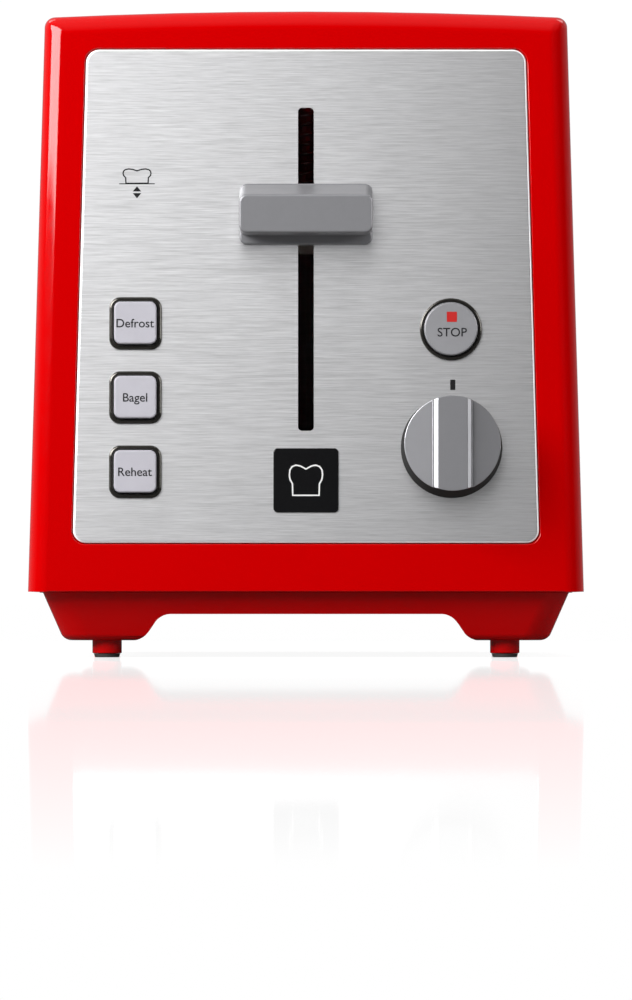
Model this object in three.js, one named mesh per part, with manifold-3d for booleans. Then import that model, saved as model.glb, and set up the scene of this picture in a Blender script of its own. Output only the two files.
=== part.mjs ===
// A two-slot pop-up toaster with its lever, browning knob and push buttons on one short end.
// Millimetres. +X is to the right of someone facing the controls, +Y runs from the controls to the back,
// +Z is up.
// The origin is on the table, under the middle of the whole toaster.

import * as THREE from "three";
import { mergeVertices } from "three/addons/utils/BufferGeometryUtils.js";
import Module from "manifold-3d";

const wasm = await Module();
wasm.setup();

// ----------------------------------------------------------------------------------------------------
// Driving dimensions

const GAP = 0.3; // between two pieces that touch on the real toaster
const TO_CENTRE = 6; // moves the housing back, so that lever and tray pull are equally far from the origin

// Housing: four sides that lean inwards, a crowned top and rounded edges
const SKIRT_Z = 20; // lower edge of the housing
const SKIRT_WIDTH = 169;
const SKIRT_DEPTH = 262;
const TOP_Z = 197.5;
const SIDE_LEAN = THREE.MathUtils.degToRad(1.55);
const END_LEAN = THREE.MathUtils.degToRad(3);
const CROWN_RADIUS = 1650; // of the top, from side to side
const TOP_CORNER = 3; // radius between side and top
const END_EDGE = 6; // radius around the two end faces
const CAP_DEPTH = 22; // of the end covers, from end face to seam
const PLASTIC = 2.4; // wall of the end covers
const SHEET = 1.2; // wall of the wrap cover

// Control plate, in the plane of the front face: u to the right, v up the face from the skirt
const PLATE = {
  bottom: 14.8, top: 164.9, bottomWidth: 141.6, topWidth: 133.8, corner: 4, thick: 1.2, proud: 0.3,
};
const SLOT = { bottom: 48.9, top: 147.6, width: 4.8, corner: 1.2 };
const BUTTON = { u: -51.8, size: 12.9, corner: 2, bezel: 16, rim: 14.9, front: -3.4 };
const BUTTON_V = { defrost: 81.6, bagel: 59, reheat: 36.4 };
const STOP = { u: 44, v: 79.8, cap: 16.3, rim: 17.6, bezel: 18.9 };
const KNOB = { u: 44.2, v: 43.8, base: 30.8, face: 28.8, height: 15, grip: 10.5, gripHeight: 2.8 };
const BADGE = { v: 33.8, width: 19.8, height: 19.5, thick: 0.8 };
const BOARD_W = 16; // how far behind the front face the circuit boards stand

// Lever and carriage: the lever is drawn at rest, and travels LEVER_DOWN from there to the latch
const LEVER = { z: 133.7, width: 40.3, height: 18.9, back: -129.5, flange: -134, front: -150, slope: 4.9 };
const LEVER_DOWN = 57;
const ROD = { y: -92, radius: 2.5 };
const ARM = { width: 3.2, height: 10 };

// Toasting chamber
const CHAMBER = { half: 76.1, sheet: 1, bottom: 33.5, top: 184, width: 140 };
const BREAD_SLOT = { x: 31.5, width: 34, length: 142, corner: 6 };
const DECK = { width: 122, length: 176, corner: 7, thick: 0.8, lip: 3, flange: 4 };
const RACK_TOP = 97;
const GUIDE = { open: 19, wire: 1.1, bottom: 43, top: 174, half: 79, count: 9 };
const CARD = { x: [6, 58], thick: 0.8, half: 73, bottom: 46, top: 170, tabs: [70, 140], tab: 12 };
const RIBBON = { half: 66, pitch: 13, width: 1.8, thick: 0.4, runs: 9 };

// Base, feet and crumb tray
const FLOOR = { bottom: 12.8, top: 14.8 };
const BASE = {
  legBottom: 5.2, topHalf: [80.2, 126.2], bottomHalf: [74, 120], rimHalf: [81.2, 127.6], rimTop: 28,
};
const LEG_HOLLOW = { x: [53, 73], y: [105.5, 117], z: 7.4 };
const ARCH = { floorHalf: [49, 88], topHalf: [44, 83], corner: 3 };
const FOOT = {
  front: [61.7, -112], rear: [68.5, 112], post: 4.5, postBottom: 1.2,
  pad: 4, hole: 3.5, plug: 3.1, plugTop: 3.2,
};
const TRAY = { half: 58, front: -74, back: 124.5, bottom: 21.5, top: 28.5, sheet: 0.8 };
const SCREW = { front: [30, -119], rear: [70, 100], head: 3.2, shank: 1.5 };
const GLAND = { x: -58, v: 26, hole: 6, bore: 3.3, flange: 7.5 };

// ----------------------------------------------------------------------------------------------------
// Finishes

const finish = (color, roughness, metalness) =>
  new THREE.MeshStandardMaterial({ color, roughness, metalness });
const redGloss = finish(0xcc0205, 0.18, 0);
const brushedSteel = finish(0xc9c9c9, 0.32, 1);
const greyPlastic = finish(0x8b8a90, 0.42, 0.35);
const paleButton = finish(0xcfcdd6, 0.45, 0.1);
const darkChrome = finish(0x35342f, 0.22, 0.9);
const blackGloss = finish(0x060606, 0.15, 0);
const rubber = finish(0x33302e, 0.85, 0);
const plainSteel = finish(0xb4b6b8, 0.4, 1);
const springSteel = finish(0x8d8f92, 0.35, 1);
const mica = finish(0xb9a679, 0.7, 0);
const nichrome = finish(0x6f675f, 0.45, 1);
const laminate = finish(0x1f5a2c, 0.6, 0);
const nylon = finish(0xe4e0d4, 0.6, 0);
const blackPlastic = finish(0x161616, 0.55, 0);
const copper = finish(0xa8552c, 0.35, 1);

// ----------------------------------------------------------------------------------------------------
// Solids

/** A closed three.js geometry as a solid that can be cut and joined. */
function solid(geometry) {
  const bare = geometry.clone();
  bare.deleteAttribute("normal");
  bare.deleteAttribute("uv");
  const merged = mergeVertices(bare, 1e-4);
  const vertProperties = merged.attributes.position.array;
  return new wasm.Manifold(
    new wasm.Mesh({ numProp: 3, vertProperties, triVerts: new Uint32Array(merged.index.array) }),
  );
}

/** A solid as a three.js geometry. */
function geometryOf(piece) {
  const cut = piece.getMesh();
  const geometry = new THREE.BufferGeometry();
  geometry.setAttribute("position", new THREE.BufferAttribute(new Float32Array(cut.vertProperties), 3));
  geometry.setIndex(new THREE.BufferAttribute(new Uint32Array(cut.triVerts), 1));
  const flat = geometry.toNonIndexed();
  flat.computeVertexNormals();
  return flat;
}

const inOrder = (a, b) => [Math.min(a, b), Math.max(a, b)];
const join = (...pieces) => pieces.flat().reduce((a, b) => a.add(b));
const cut = (piece, ...tools) => tools.flat().reduce((a, b) => a.subtract(b), piece);

/** A box between two values on each axis. */
function block(x0, x1, y0, y1, z0, z1) {
  const box = new THREE.BoxGeometry(x1 - x0, y1 - y0, z1 - z0);
  return solid(box.translate((x0 + x1) / 2, (y0 + y1) / 2, (z0 + z1) / 2));
}

/** A flat outline drawn from above, as a solid from z0 to z1. */
function fromAbove(shape, z0, z1, segments = 4) {
  const settings = { depth: z1 - z0, bevelEnabled: false, curveSegments: segments };
  const prism = new THREE.ExtrudeGeometry(shape, settings);
  return solid(prism.translate(0, 0, z0));
}

/** A flat outline drawn from the front (x, z), as a solid from y0 to y1. */
function fromFront(shape, y0, y1, segments = 4) {
  const settings = { depth: y1 - y0, bevelEnabled: false, curveSegments: segments };
  const prism = new THREE.ExtrudeGeometry(shape, settings);
  return solid(prism.rotateX(Math.PI / 2).translate(0, y1, 0));
}

/** A flat outline drawn from the side (y, z), as a solid from x0 to x1. */
function fromSide(shape, x0, x1, segments = 4) {
  const settings = { depth: x1 - x0, bevelEnabled: false, curveSegments: segments };
  const prism = new THREE.ExtrudeGeometry(shape, settings);
  const toSide = new THREE.Matrix4().makeBasis(
    new THREE.Vector3(0, 1, 0),
    new THREE.Vector3(0, 0, 1),
    new THREE.Vector3(1, 0, 0),
  );
  return solid(prism.applyMatrix4(toSide).translate(x0, 0, 0));
}

/** An outline through the given corners, each rounded by the same radius. */
function roundedOutline(corners, radius) {
  const shape = new THREE.Shape();
  corners.forEach((corner, i) => {
    const here = new THREE.Vector2(...corner);
    const before = new THREE.Vector2(...corners.at(i - 1));
    const after = new THREE.Vector2(...corners[(i + 1) % corners.length]);
    const start = here.clone().add(before.sub(here).setLength(radius));
    const end = here.clone().add(after.sub(here).setLength(radius));
    if (i === 0) shape.moveTo(start.x, start.y);
    else shape.lineTo(start.x, start.y);
    shape.quadraticCurveTo(here.x, here.y, end.x, end.y);
  });
  shape.closePath();
  return shape;
}

/** A rounded rectangle around a centre. */
function roundedRectangle(width, height, radius, x = 0, y = 0) {
  const [w, h] = [width / 2, height / 2];
  const corners = [[x - w, y - h], [x + w, y - h], [x + w, y + h], [x - w, y + h]];
  return roundedOutline(corners, radius);
}

const polygon = (corners) => new THREE.Shape(corners.map(([x, y]) => new THREE.Vector2(x, y)));

/** A round bar from z0 to z1 that tapers from one radius to another. */
function upright(x, y, z0, z1, bottomRadius, topRadius = bottomRadius, sides = 16) {
  const bar = new THREE.CylinderGeometry(topRadius, bottomRadius, z1 - z0, sides);
  return solid(bar.rotateX(Math.PI / 2).translate(x, y, (z0 + z1) / 2));
}

/** A round bar along Y, from y0 at the front to y1. */
function lengthwise(x, z, y0, y1, frontRadius, backRadius = frontRadius, sides = 16) {
  const bar = new THREE.CylinderGeometry(backRadius, frontRadius, y1 - y0, sides);
  return solid(bar.translate(x, (y0 + y1) / 2, z));
}

/** A closed skin over rings with the same number of points; the end rings are flat and convex. */
function skin(rings) {
  const count = rings[0].length;
  const last = (rings.length - 1) * count;
  const index = [];
  for (let r = 0; r + 1 < rings.length; r++) {
    for (let i = 0; i < count; i++) {
      const [a, b] = [r * count + i, r * count + ((i + 1) % count)];
      index.push(a, b, b + count, a, b + count, a + count);
    }
  }
  for (let i = 1; i + 1 < count; i++) {
    index.push(0, i + 1, i, last, last + i, last + i + 1);
  }
  const geometry = new THREE.BufferGeometry();
  geometry.setAttribute("position", new THREE.Float32BufferAttribute(rings.flat(2), 3));
  geometry.setIndex(index);
  return solid(geometry);
}

// ----------------------------------------------------------------------------------------------------
// The housing's own form

const endY = (z) => -SKIRT_DEPTH / 2 + (z - SKIRT_Z) * Math.tan(END_LEAN); // front face; the back mirrors it
const sideX = (z) => SKIRT_WIDTH / 2 - (z - SKIRT_Z) * Math.tan(SIDE_LEAN);
const crownZ = (x) => TOP_Z - (x * x) / (2 * CROWN_RADIUS);

/** The housing's outline from the front, drawn in by the given distance, from its lower edge over the top. */
function housingOutline(inset, floorZ) {
  const radius = Math.max(TOP_CORNER - inset, 0.5);
  let [x, z] = [sideX(TOP_Z) - inset - radius, TOP_Z - inset - radius];
  for (let pass = 0; pass < 4; pass++) {
    z = crownZ(x) - inset - radius;
    x = sideX(z) - inset - radius;
  }
  const half = [[sideX(floorZ) - inset, floorZ]];
  for (const turn of [0, 30, 60, 90]) {
    const angle = THREE.MathUtils.degToRad(turn);
    half.push([x + radius * Math.cos(angle), z + radius * Math.sin(angle)]);
  }
  half.push([(x * 2) / 3, crownZ((x * 2) / 3) - inset], [x / 3, crownZ(x / 3) - inset]);
  const mirrored = half.map(([px, pz]) => [-px, pz]).reverse();
  return [...half, ...mirrored];
}

/** The housing as one solid, smaller all round by an inset, with its end faces' edges rounded. */
function housingForm(inset, floorZ) {
  const radius = END_EDGE - inset;
  const turns = [0, 22.5, 45, 67.5, 90].map(THREE.MathUtils.degToRad);
  const front = turns.map((turn) => {
    const outline = housingOutline(inset + radius * (1 - Math.sin(turn)), floorZ);
    return outline.map(([x, z]) => [x, endY(z) + inset + radius * (1 - Math.cos(turn)), z]);
  });
  const back = front.map((ring) => ring.map(([x, y, z]) => [x, -y, z]));
  return skin([...back, ...front.reverse()]);
}

/** Everything between two planes that lean with the front face, at these distances behind it. */
function behindFace(from, to) {
  const [low, high] = [-5, TOP_Z + 20];
  const corners = [
    [endY(low) + from, low], [endY(low) + to, low], [endY(high) + to, high], [endY(high) + from, high],
  ];
  return fromSide(polygon(corners), -SKIRT_WIDTH, SKIRT_WIDTH);
}

const mirrorY = new THREE.Matrix4().makeScale(1, -1, 1);
const toBack = (piece) => piece.transform(mirrorY.toArray());

/** The plane of the front face: its x runs right, z up the face from the skirt, and y into the toaster. */
const faceFrame = new THREE.Matrix4()
  .makeRotationX(-END_LEAN)
  .setPosition(0, -SKIRT_DEPTH / 2, SKIRT_Z);
const backFrame = new THREE.Matrix4().multiplyMatrices(mirrorY, faceFrame);
const onFace = (piece) => piece.transform(faceFrame.toArray());
const onBack = (piece) => piece.transform(backFrame.toArray());

const wholePlastic = housingForm(0, SKIRT_Z).subtract(housingForm(PLASTIC, SKIRT_Z - 10));
const wholeSheet = housingForm(0, SKIRT_Z).subtract(housingForm(SHEET, SKIRT_Z - 10));

const plateCorners = (grow) => [
  [-PLATE.bottomWidth / 2 - grow, PLATE.bottom - grow],
  [PLATE.bottomWidth / 2 + grow, PLATE.bottom - grow],
  [PLATE.topWidth / 2 + grow, PLATE.top + grow],
  [-PLATE.topWidth / 2 - grow, PLATE.top + grow],
];
const slotOutline = (grow) =>
  roundedRectangle(
    SLOT.width + 2 * grow, SLOT.top - SLOT.bottom + 2 * grow, SLOT.corner, 0, (SLOT.bottom + SLOT.top) / 2,
  );

/** The openings that the plate and the front cover share, in the plane of the face. */
function controlOpenings(grow) {
  const squares = Object.values(BUTTON_V).map((v) =>
    fromFront(roundedRectangle(BUTTON.rim + grow, BUTTON.rim + grow, 3, BUTTON.u, v), -5, 8, 2),
  );
  const stop = lengthwise(STOP.u, STOP.v, -5, 8, (STOP.rim + grow) / 2);
  const shaft = lengthwise(KNOB.u, KNOB.v, -5, 8, 3.8);
  return [...squares, stop, shaft];
}

// ----------------------------------------------------------------------------------------------------
// Housing pieces

function frontCover() {
  const plateOutline = roundedOutline(plateCorners(GAP), PLATE.corner);
  const recess = fromFront(plateOutline, -5, PLATE.thick - PLATE.proud + GAP / 2);
  const posts = [[-62, 90], [-40, 28], [26, 94], [62, 30]].map(([u, v]) =>
    lengthwise(u, v, 1.5, BOARD_W - GAP, 2.5, 2.5, 8),
  );
  const inFace = [recess, fromFront(slotOutline(0.5), -5, 8, 2), ...controlOpenings(2 * GAP)].map(onFace);
  const [screwX, screwY] = SCREW.front;
  const bossFront = -SKIRT_DEPTH / 2 + 1.5;
  const bosses = [-screwX, screwX].map((x) => block(x - 4, x + 4, bossFront, screwY + 5, 29, 42));
  const pilots = [-screwX, screwX].map((x) => upright(x, screwY, 10, 38, SCREW.shank + GAP, undefined, 8));
  const shell = wholePlastic.intersect(behindFace(-20, CAP_DEPTH));
  return cut(join(shell, posts.map(onFace), bosses), inFace, pilots);
}

function rearCover() {
  const trayMouth = block(-61, 61, 100, 150, SKIRT_Z - 5, 31.5);
  const glandHole = onBack(lengthwise(GLAND.x, GLAND.v, -5, 8, GLAND.hole + GAP, undefined, 14));
  const [screwX, screwY] = SCREW.rear;
  const bosses = [-1, 1].flatMap((side) => [
    block(...inOrder(side * (screwX - 4), side * (screwX + 4)), screwY - 4, screwY + 14, 30, 42),
    block(...inOrder(side * (screwX + 3), side * 83), screwY + 11, screwY + 14, 30, 42),
  ]);
  const pilots = [-screwX, screwX].map((x) => upright(x, screwY, 10, 38, SCREW.shank + GAP, undefined, 8));
  const shell = toBack(wholePlastic.intersect(behindFace(-20, CAP_DEPTH)));
  return cut(join(shell, bosses), trayMouth, glandHole, pilots);
}

function wrapCover() {
  const seam = CAP_DEPTH + GAP;
  const between = behindFace(seam, 2 * SKIRT_DEPTH).intersect(toBack(behindFace(seam, 2 * SKIRT_DEPTH)));
  const width = DECK.width - 2 * DECK.lip;
  const opening = roundedRectangle(width, DECK.length - 2 * DECK.lip, DECK.corner - DECK.lip);
  return wholeSheet.intersect(between).subtract(fromAbove(opening, 150, 220));
}

/** The steel deck: a sheet that follows the crown, with a turned-down edge round each bread slot. */
function slotPlate() {
  const bottom = GAP;
  const arc = (rise) => [-66, -44, -22, 0, 22, 44, 66].map((x) => [x, crownZ(x) + rise]);
  const sheet = fromFront(polygon([...arc(bottom), ...arc(bottom + DECK.thick).reverse()]), -100, 100);
  const deck = sheet.intersect(fromAbove(roundedRectangle(DECK.width, DECK.length, DECK.corner), 150, 220));
  const slot = (grow, x) =>
    roundedRectangle(BREAD_SLOT.width + grow, BREAD_SLOT.length + grow, BREAD_SLOT.corner, x);
  const sides = [-BREAD_SLOT.x, BREAD_SLOT.x];
  const flanges = sides.map((x) => fromAbove(slot(2 * DECK.thick, x), TOP_Z - DECK.flange - 1, TOP_Z + 5));
  const underArc = polygon([[-66, 150], [66, 150], ...arc(bottom + DECK.thick / 2).reverse()]);
  const cap = fromFront(underArc, -100, 100);
  const openings = sides.map((x) => fromAbove(slot(0, x), 150, 220));
  return cut(join(deck, flanges.map((flange) => flange.intersect(cap))), openings);
}

function controlPlate() {
  const outline = roundedOutline(plateCorners(0), PLATE.corner);
  const sheet = fromFront(outline, -PLATE.proud, PLATE.thick - PLATE.proud);
  return onFace(cut(sheet, fromFront(slotOutline(0), -5, 8, 2), controlOpenings(GAP)));
}

/** A plain badge with a slice of toast in low relief. */
function badge() {
  const front = -PLATE.proud - GAP / 2;
  const plate = roundedRectangle(BADGE.width, BADGE.height, 1.2, 0, BADGE.v);
  return onFace(fromFront(plate, front - BADGE.thick, front, 2));
}

/**
 * The base: a tray with four legs, an arch on every side, a rim inside the housing and runners for the
 * crumb tray.
 */
function baseTray() {
  const ring = (z, [x, y], radius) => {
    const corners = [[x, y, 0], [-x, y, 90], [-x, -y, 180], [x, -y, 270]];
    return corners.flatMap(([cx, cy, first]) =>
      [0, 30, 60, 90].map((turn) => {
        const angle = THREE.MathUtils.degToRad(first + turn);
        const [mx, my] = [cx - Math.sign(cx) * radius, cy - Math.sign(cy) * radius];
        return [mx + radius * Math.cos(angle), my + radius * Math.sin(angle), z];
      }),
    );
  };
  const grown = ([x, y], by) => [x + by, y + by];
  const body = skin([
    ring(BASE.legBottom, grown(BASE.bottomHalf, -1), 7),
    ring(BASE.legBottom + 1.5, grown(BASE.bottomHalf, 0.6), 8),
    ring(SKIRT_Z - GAP, BASE.topHalf, 8),
  ]);
  const rim = skin([ring(SKIRT_Z - 2, BASE.rimHalf, 5), ring(BASE.rimTop, BASE.rimHalf, 5)]).intersect(
    housingForm(PLASTIC + GAP, SKIRT_Z - GAP),
  );
  const hollow = skin([
    ring(FLOOR.top, grown(BASE.topHalf, -4.4), 5),
    ring(40, grown(BASE.topHalf, -1.4), 5),
  ]);
  const arch = (axis) => {
    const [low, high] = [ARCH.floorHalf[axis], ARCH.topHalf[axis]];
    const corners = [
      [-low - 3, -2], [low + 3, -2], [low - 1, 6], [high, FLOOR.bottom], [-high, FLOOR.bottom],
    ];
    return roundedOutline([...corners, [1 - low, 6]], ARCH.corner);
  };
  const arches = [fromFront(arch(0), -150, 150, 3), fromSide(arch(1), -150, 150, 3)];
  const mouth = block(-61.5, 61.5, 110, 140, SKIRT_Z + 0.7, 40);
  const runnerTop = TRAY.bottom - GAP;
  const runners = [-52, 52].map((x) => block(x - 2, x + 2, TRAY.front, 110, FLOOR.top - 1, runnerTop));
  const posts = [-1, 1].flatMap((side) =>
    [-76, 76].map((y) =>
      block(side * 66 - 4, side * 66 + 4, y - 3, y + 3, FLOOR.top - 1, CHAMBER.bottom - GAP)),
  );
  const legHollows = [-1, 1].flatMap((side) =>
    [-1, 1].map((end) => {
      const [x0, x1] = inOrder(side * LEG_HOLLOW.x[0], side * LEG_HOLLOW.x[1]);
      const [y0, y1] = inOrder(end * LEG_HOLLOW.y[0], end * LEG_HOLLOW.y[1]);
      return block(x0, x1, y0, y1, LEG_HOLLOW.z, FLOOR.top + 1);
    }),
  );
  const shell = cut(join(body, rim), hollow, arches, mouth, legHollows);
  const corners = [FOOT.front, FOOT.rear].flatMap(([x, y]) => [[-x, y], [x, y]]);
  const feet = corners.map(([x, y]) => upright(x, y, FOOT.postBottom, BASE.legBottom + 1, FOOT.post));
  const sockets = corners.map(([x, y]) => upright(x, y, 0, FOOT.hole, FOOT.plug + GAP, undefined, 12));
  const screwSeats = [SCREW.front, SCREW.rear].flatMap(([x, y]) =>
    [-x, x].flatMap((seatX) => [
      upright(seatX, y, 0, FLOOR.bottom + 1, SCREW.head + GAP),
      upright(seatX, y, 10, 20, SCREW.shank + GAP, undefined, 8),
    ]),
  );
  return cut(join(shell, runners, posts, feet), sockets, screwSeats);
}

const footPad = (x, y) =>
  join(
    upright(x, y, 0, FOOT.postBottom - GAP, FOOT.pad - 0.4, FOOT.pad),
    upright(x, y, 0.5, FOOT.plugTop, FOOT.plug, undefined, 12),
  );

/** A screw from below, with its head let into the base. */
function baseScrew(x, y) {
  const head = upright(x, y, FLOOR.bottom - 0.9, FLOOR.bottom + 1 - GAP, SCREW.head, undefined, 12);
  const shank = upright(x, y, FLOOR.bottom, 36, SCREW.shank, undefined, 8);
  const recess = join(
    block(x - 1.8, x + 1.8, y - 0.4, y + 0.4, 10, FLOOR.bottom),
    block(x - 0.4, x + 0.4, y - 1.8, y + 1.8, 10, FLOOR.bottom),
  );
  return join(head, shank).subtract(recess);
}

/** The steel crumb tray, an open pan. */
function crumbTray() {
  const pan = block(-TRAY.half, TRAY.half, TRAY.front, TRAY.back, TRAY.bottom, TRAY.top);
  const inner = TRAY.half - TRAY.sheet;
  const [front, back] = [TRAY.front + TRAY.sheet, TRAY.back - TRAY.sheet];
  return pan.subtract(block(-inner, inner, front, back, TRAY.bottom + TRAY.sheet, TRAY.top + 1));
}

/** The tray's plastic front: it closes the mouth in the rear cover and has a lip for a finger. */
function crumbTrayHandle() {
  const [top, back] = [31, 130.2];
  const front = block(-60.5, 60.5, TRAY.back + GAP, back, TRAY.bottom, top);
  const lip = fromSide(polygon([[back - 1, 21.5], [138, 21.5], [138, 23.4], [back - 1, 26]]), -22, 22);
  return join(front, lip);
}

/** The bush where the mains lead passes through the rear cover, with a flange on both sides of the wall. */
function cordGland() {
  const [x, v] = [GLAND.x, GLAND.v];
  const barrel = lengthwise(x, v, -3, PLASTIC + 6, GLAND.hole - 0.8, GLAND.hole - 0.2, 14);
  const outer = lengthwise(x, v, -GAP - 1.8, -GAP, GLAND.flange - 0.8, GLAND.flange, 14);
  const inner = lengthwise(x, v, PLASTIC + GAP, PLASTIC + GAP + 1.6, GLAND.flange, undefined, 14);
  const bore = lengthwise(x, v, -10, 20, GLAND.bore, undefined, 10);
  return onBack(join(barrel, outer, inner).subtract(bore));
}

// ----------------------------------------------------------------------------------------------------
// Controls, in the plane of the front face

/** A push button: a cap, and a stem that reaches its switch. */
function pushButton(v) {
  const square = roundedRectangle(BUTTON.size, BUTTON.size, BUTTON.corner, BUTTON.u, v);
  const cap = fromFront(square, BUTTON.front, 3.5, 3);
  return onFace(join(cap, lengthwise(BUTTON.u, v, 3, 8, 2.2, undefined, 8)));
}

function buttonBezel(v) {
  const flange = roundedRectangle(BUTTON.bezel, BUTTON.bezel, 3.4, BUTTON.u, v);
  const rim = roundedRectangle(BUTTON.rim - GAP, BUTTON.rim - GAP, 3, BUTTON.u, v);
  const front = -PLATE.proud - GAP;
  const ring = join(fromFront(flange, front - 1, front, 3), fromFront(rim, front - 0.5, 4, 3));
  const opening = roundedRectangle(BUTTON.size + 2 * GAP, BUTTON.size + 2 * GAP, 2.3, BUTTON.u, v);
  return onFace(ring.subtract(fromFront(opening, -10, 10, 3)));
}

function stopButton() {
  const cap = lengthwise(STOP.u, STOP.v, BUTTON.front + 0.5, 3.5, STOP.cap / 2, undefined, 24);
  return onFace(join(cap, lengthwise(STOP.u, STOP.v, 3, 8, 2.2, undefined, 8)));
}

function stopBezel() {
  const front = -PLATE.proud - GAP;
  const ring = join(
    lengthwise(STOP.u, STOP.v, front - 1, front, STOP.bezel / 2, undefined, 24),
    lengthwise(STOP.u, STOP.v, front - 0.5, 4, (STOP.rim - GAP) / 2, undefined, 24),
  );
  return onFace(ring.subtract(lengthwise(STOP.u, STOP.v, -10, 10, STOP.cap / 2 + GAP, undefined, 24)));
}

/** The browning knob: a tapered disc whose two flanks fall away from a grip bar across the middle. */
function browningKnob() {
  const back = -PLATE.proud - 0.6;
  const top = back - KNOB.height - KNOB.gripHeight;
  const disc = lengthwise(0, 0, top, back, KNOB.face / 2, KNOB.base / 2, 32);
  const half = KNOB.grip / 2;
  const foot = top + KNOB.gripHeight;
  const flank = [[half, top - 1], [half + 0.6, foot], [20, foot + 2.6], [20, top - 1]];
  const right = fromAbove(polygon(flank), -20, 20);
  const left = right.transform(new THREE.Matrix4().makeRotationY(Math.PI).toArray());
  const bore = lengthwise(0, 0, back - 12, back + 1, 3 + GAP, undefined, 12);
  const knob = cut(disc, right, left, bore);
  return onFace(knob.transform(new THREE.Matrix4().makeTranslation(KNOB.u, 0, KNOB.v).toArray()));
}

const potShaft = () =>
  onFace(lengthwise(KNOB.u, KNOB.v, -PLATE.proud - 0.6 - 11.5, BOARD_W - 8 - GAP, 3, undefined, 12));

const browningPot = () =>
  onFace(block(KNOB.u - 8, KNOB.u + 8, BOARD_W - 8, BOARD_W - GAP, KNOB.v - 8, KNOB.v + 8));

/** The board behind the square buttons, with a switch soldered on for each. */
function buttonBoard() {
  const board = block(-66, -36, BOARD_W, BOARD_W + 1.6, 24, 96);
  const switches = Object.values(BUTTON_V).map((v) =>
    block(BUTTON.u - 3, BUTTON.u + 3, BOARD_W - 5.5, BOARD_W + 0.5, v - 3, v + 3),
  );
  return onFace(join(board, switches));
}

/** The main board: the stop switch, a relay, a capacitor and a controller chip. */
function controlBoard() {
  const board = block(22, 66, BOARD_W, BOARD_W + 1.6, 26, 100);
  const stopSwitch = block(STOP.u - 3, STOP.u + 3, BOARD_W - 5.5, BOARD_W + 0.5, STOP.v - 3, STOP.v + 3);
  const relay = block(26, 42, BOARD_W + 1, BOARD_W + 13, 74, 94);
  const chip = block(46, 60, BOARD_W + 1, BOARD_W + 4, 50, 58);
  const capacitor = lengthwise(56, 84, BOARD_W + 1, BOARD_W + 14, 5, undefined, 12);
  return onFace(join(board, stopSwitch, relay, chip, capacitor));
}

// ----------------------------------------------------------------------------------------------------
// Lever and carriage, all moving straight up and down

/** The lever: a flat flange near the plate, and a finger block whose top slopes down to the front. */
function leverKnob() {
  const [low, high] = [LEVER.z - LEVER.height / 2, LEVER.z + LEVER.height / 2];
  const flange = roundedRectangle(LEVER.width, LEVER.height, 2.6, 0, LEVER.z);
  const undercut = 2.8;
  const side = [
    [LEVER.front, low + undercut],
    [LEVER.flange + 1, low + undercut],
    [LEVER.flange + 1, high],
    [LEVER.front, high - LEVER.slope],
  ];
  const finger = fromSide(roundedOutline(side, 0.9), -LEVER.width / 2, LEVER.width / 2, 2);
  const rounded = finger.intersect(fromFront(roundedRectangle(LEVER.width, 40, 2.6, 0, LEVER.z), -160, -120));
  const armHalf = [ARM.width / 2 + GAP, 5 + GAP];
  const socket = block(-armHalf[0], armHalf[0], -146, -120, LEVER.z - armHalf[1], LEVER.z + armHalf[1]);
  return cut(join(fromFront(flange, LEVER.flange, LEVER.back), rounded), socket);
}

/**
 * The steel carriage: a cross bar for the two racks, a spine, and an arm folded round the bush to the
 * lever.
 */
function carriageBracket() {
  const [back, front, half] = [-82.5, -84, ARM.width / 2];
  const sheet = [
    [-36, 95], [36, 95], [36, 103], [8.8, 103], [8.8, 143], [-8.8, 143],
    [-8.8, 118], [-28, 118], [-28, 106], [-8.8, 106], [-8.8, 103], [-36, 103],
  ];
  const arm = [
    [8.6, -83], [7.2, -83], [7.2, -99.4], [-half, -99.4],
    [-half, -145.5], [half, -145.5], [half, -101], [8.6, -101],
  ];
  const plate = fromFront(polygon(sheet), front, back);
  return join(plate, fromAbove(polygon(arm), LEVER.z - ARM.height / 2, LEVER.z + ARM.height / 2));
}

function carriageBush() {
  const body = block(-7, 7, ROD.y - 7, -84 - GAP, 124, 143);
  return body.subtract(upright(0, ROD.y, 100, 160, ROD.radius + 0.35, undefined, 12));
}

const armaturePlate = () => block(-26, -10, -104, -84 - GAP, 54.3 + LEVER_DOWN, 56.3 + LEVER_DOWN);

/** A rack that a slice stands on: a blade edge-up through both chamber walls, with fins across it. */
function breadRack(x) {
  const [low, high] = [RACK_TOP - 6.5, RACK_TOP - 0.8];
  const edge = [[-82.2, low], [80, low], [80, high], [-79.5, high], [-79.5, 102.5], [-82.2, 102.5]];
  const fins = [-3, -2, -1, 0, 1, 2, 3].map((step) =>
    block(x - 10.5, x + 10.5, step * 21 - 1.5, step * 21 + 1.5, RACK_TOP - 1.6, RACK_TOP),
  );
  return join(fromSide(polygon(edge), x - 0.8, x + 0.8), fins);
}

/** The steel frame that holds the guide rod, the magnet and the contacts on the chamber's front wall. */
function mechanismFrame() {
  const back = -CHAMBER.half - CHAMBER.sheet - GAP;
  const folded = [[-100, 180.5], [back - 1.5, 180.5], [back - 1.5, 35], [back, 35], [back, 182], [-100, 182]];
  const frame = join(fromSide(polygon(folded), -8, 8), block(-27, 27, -106, back - 0.1, 34, 35.5));
  return frame.subtract(upright(0, ROD.y, 20, 200, ROD.radius + GAP, undefined, 12));
}

const guideRod = () => upright(0, ROD.y, 32.8, 183, ROD.radius, undefined, 12);

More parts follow.
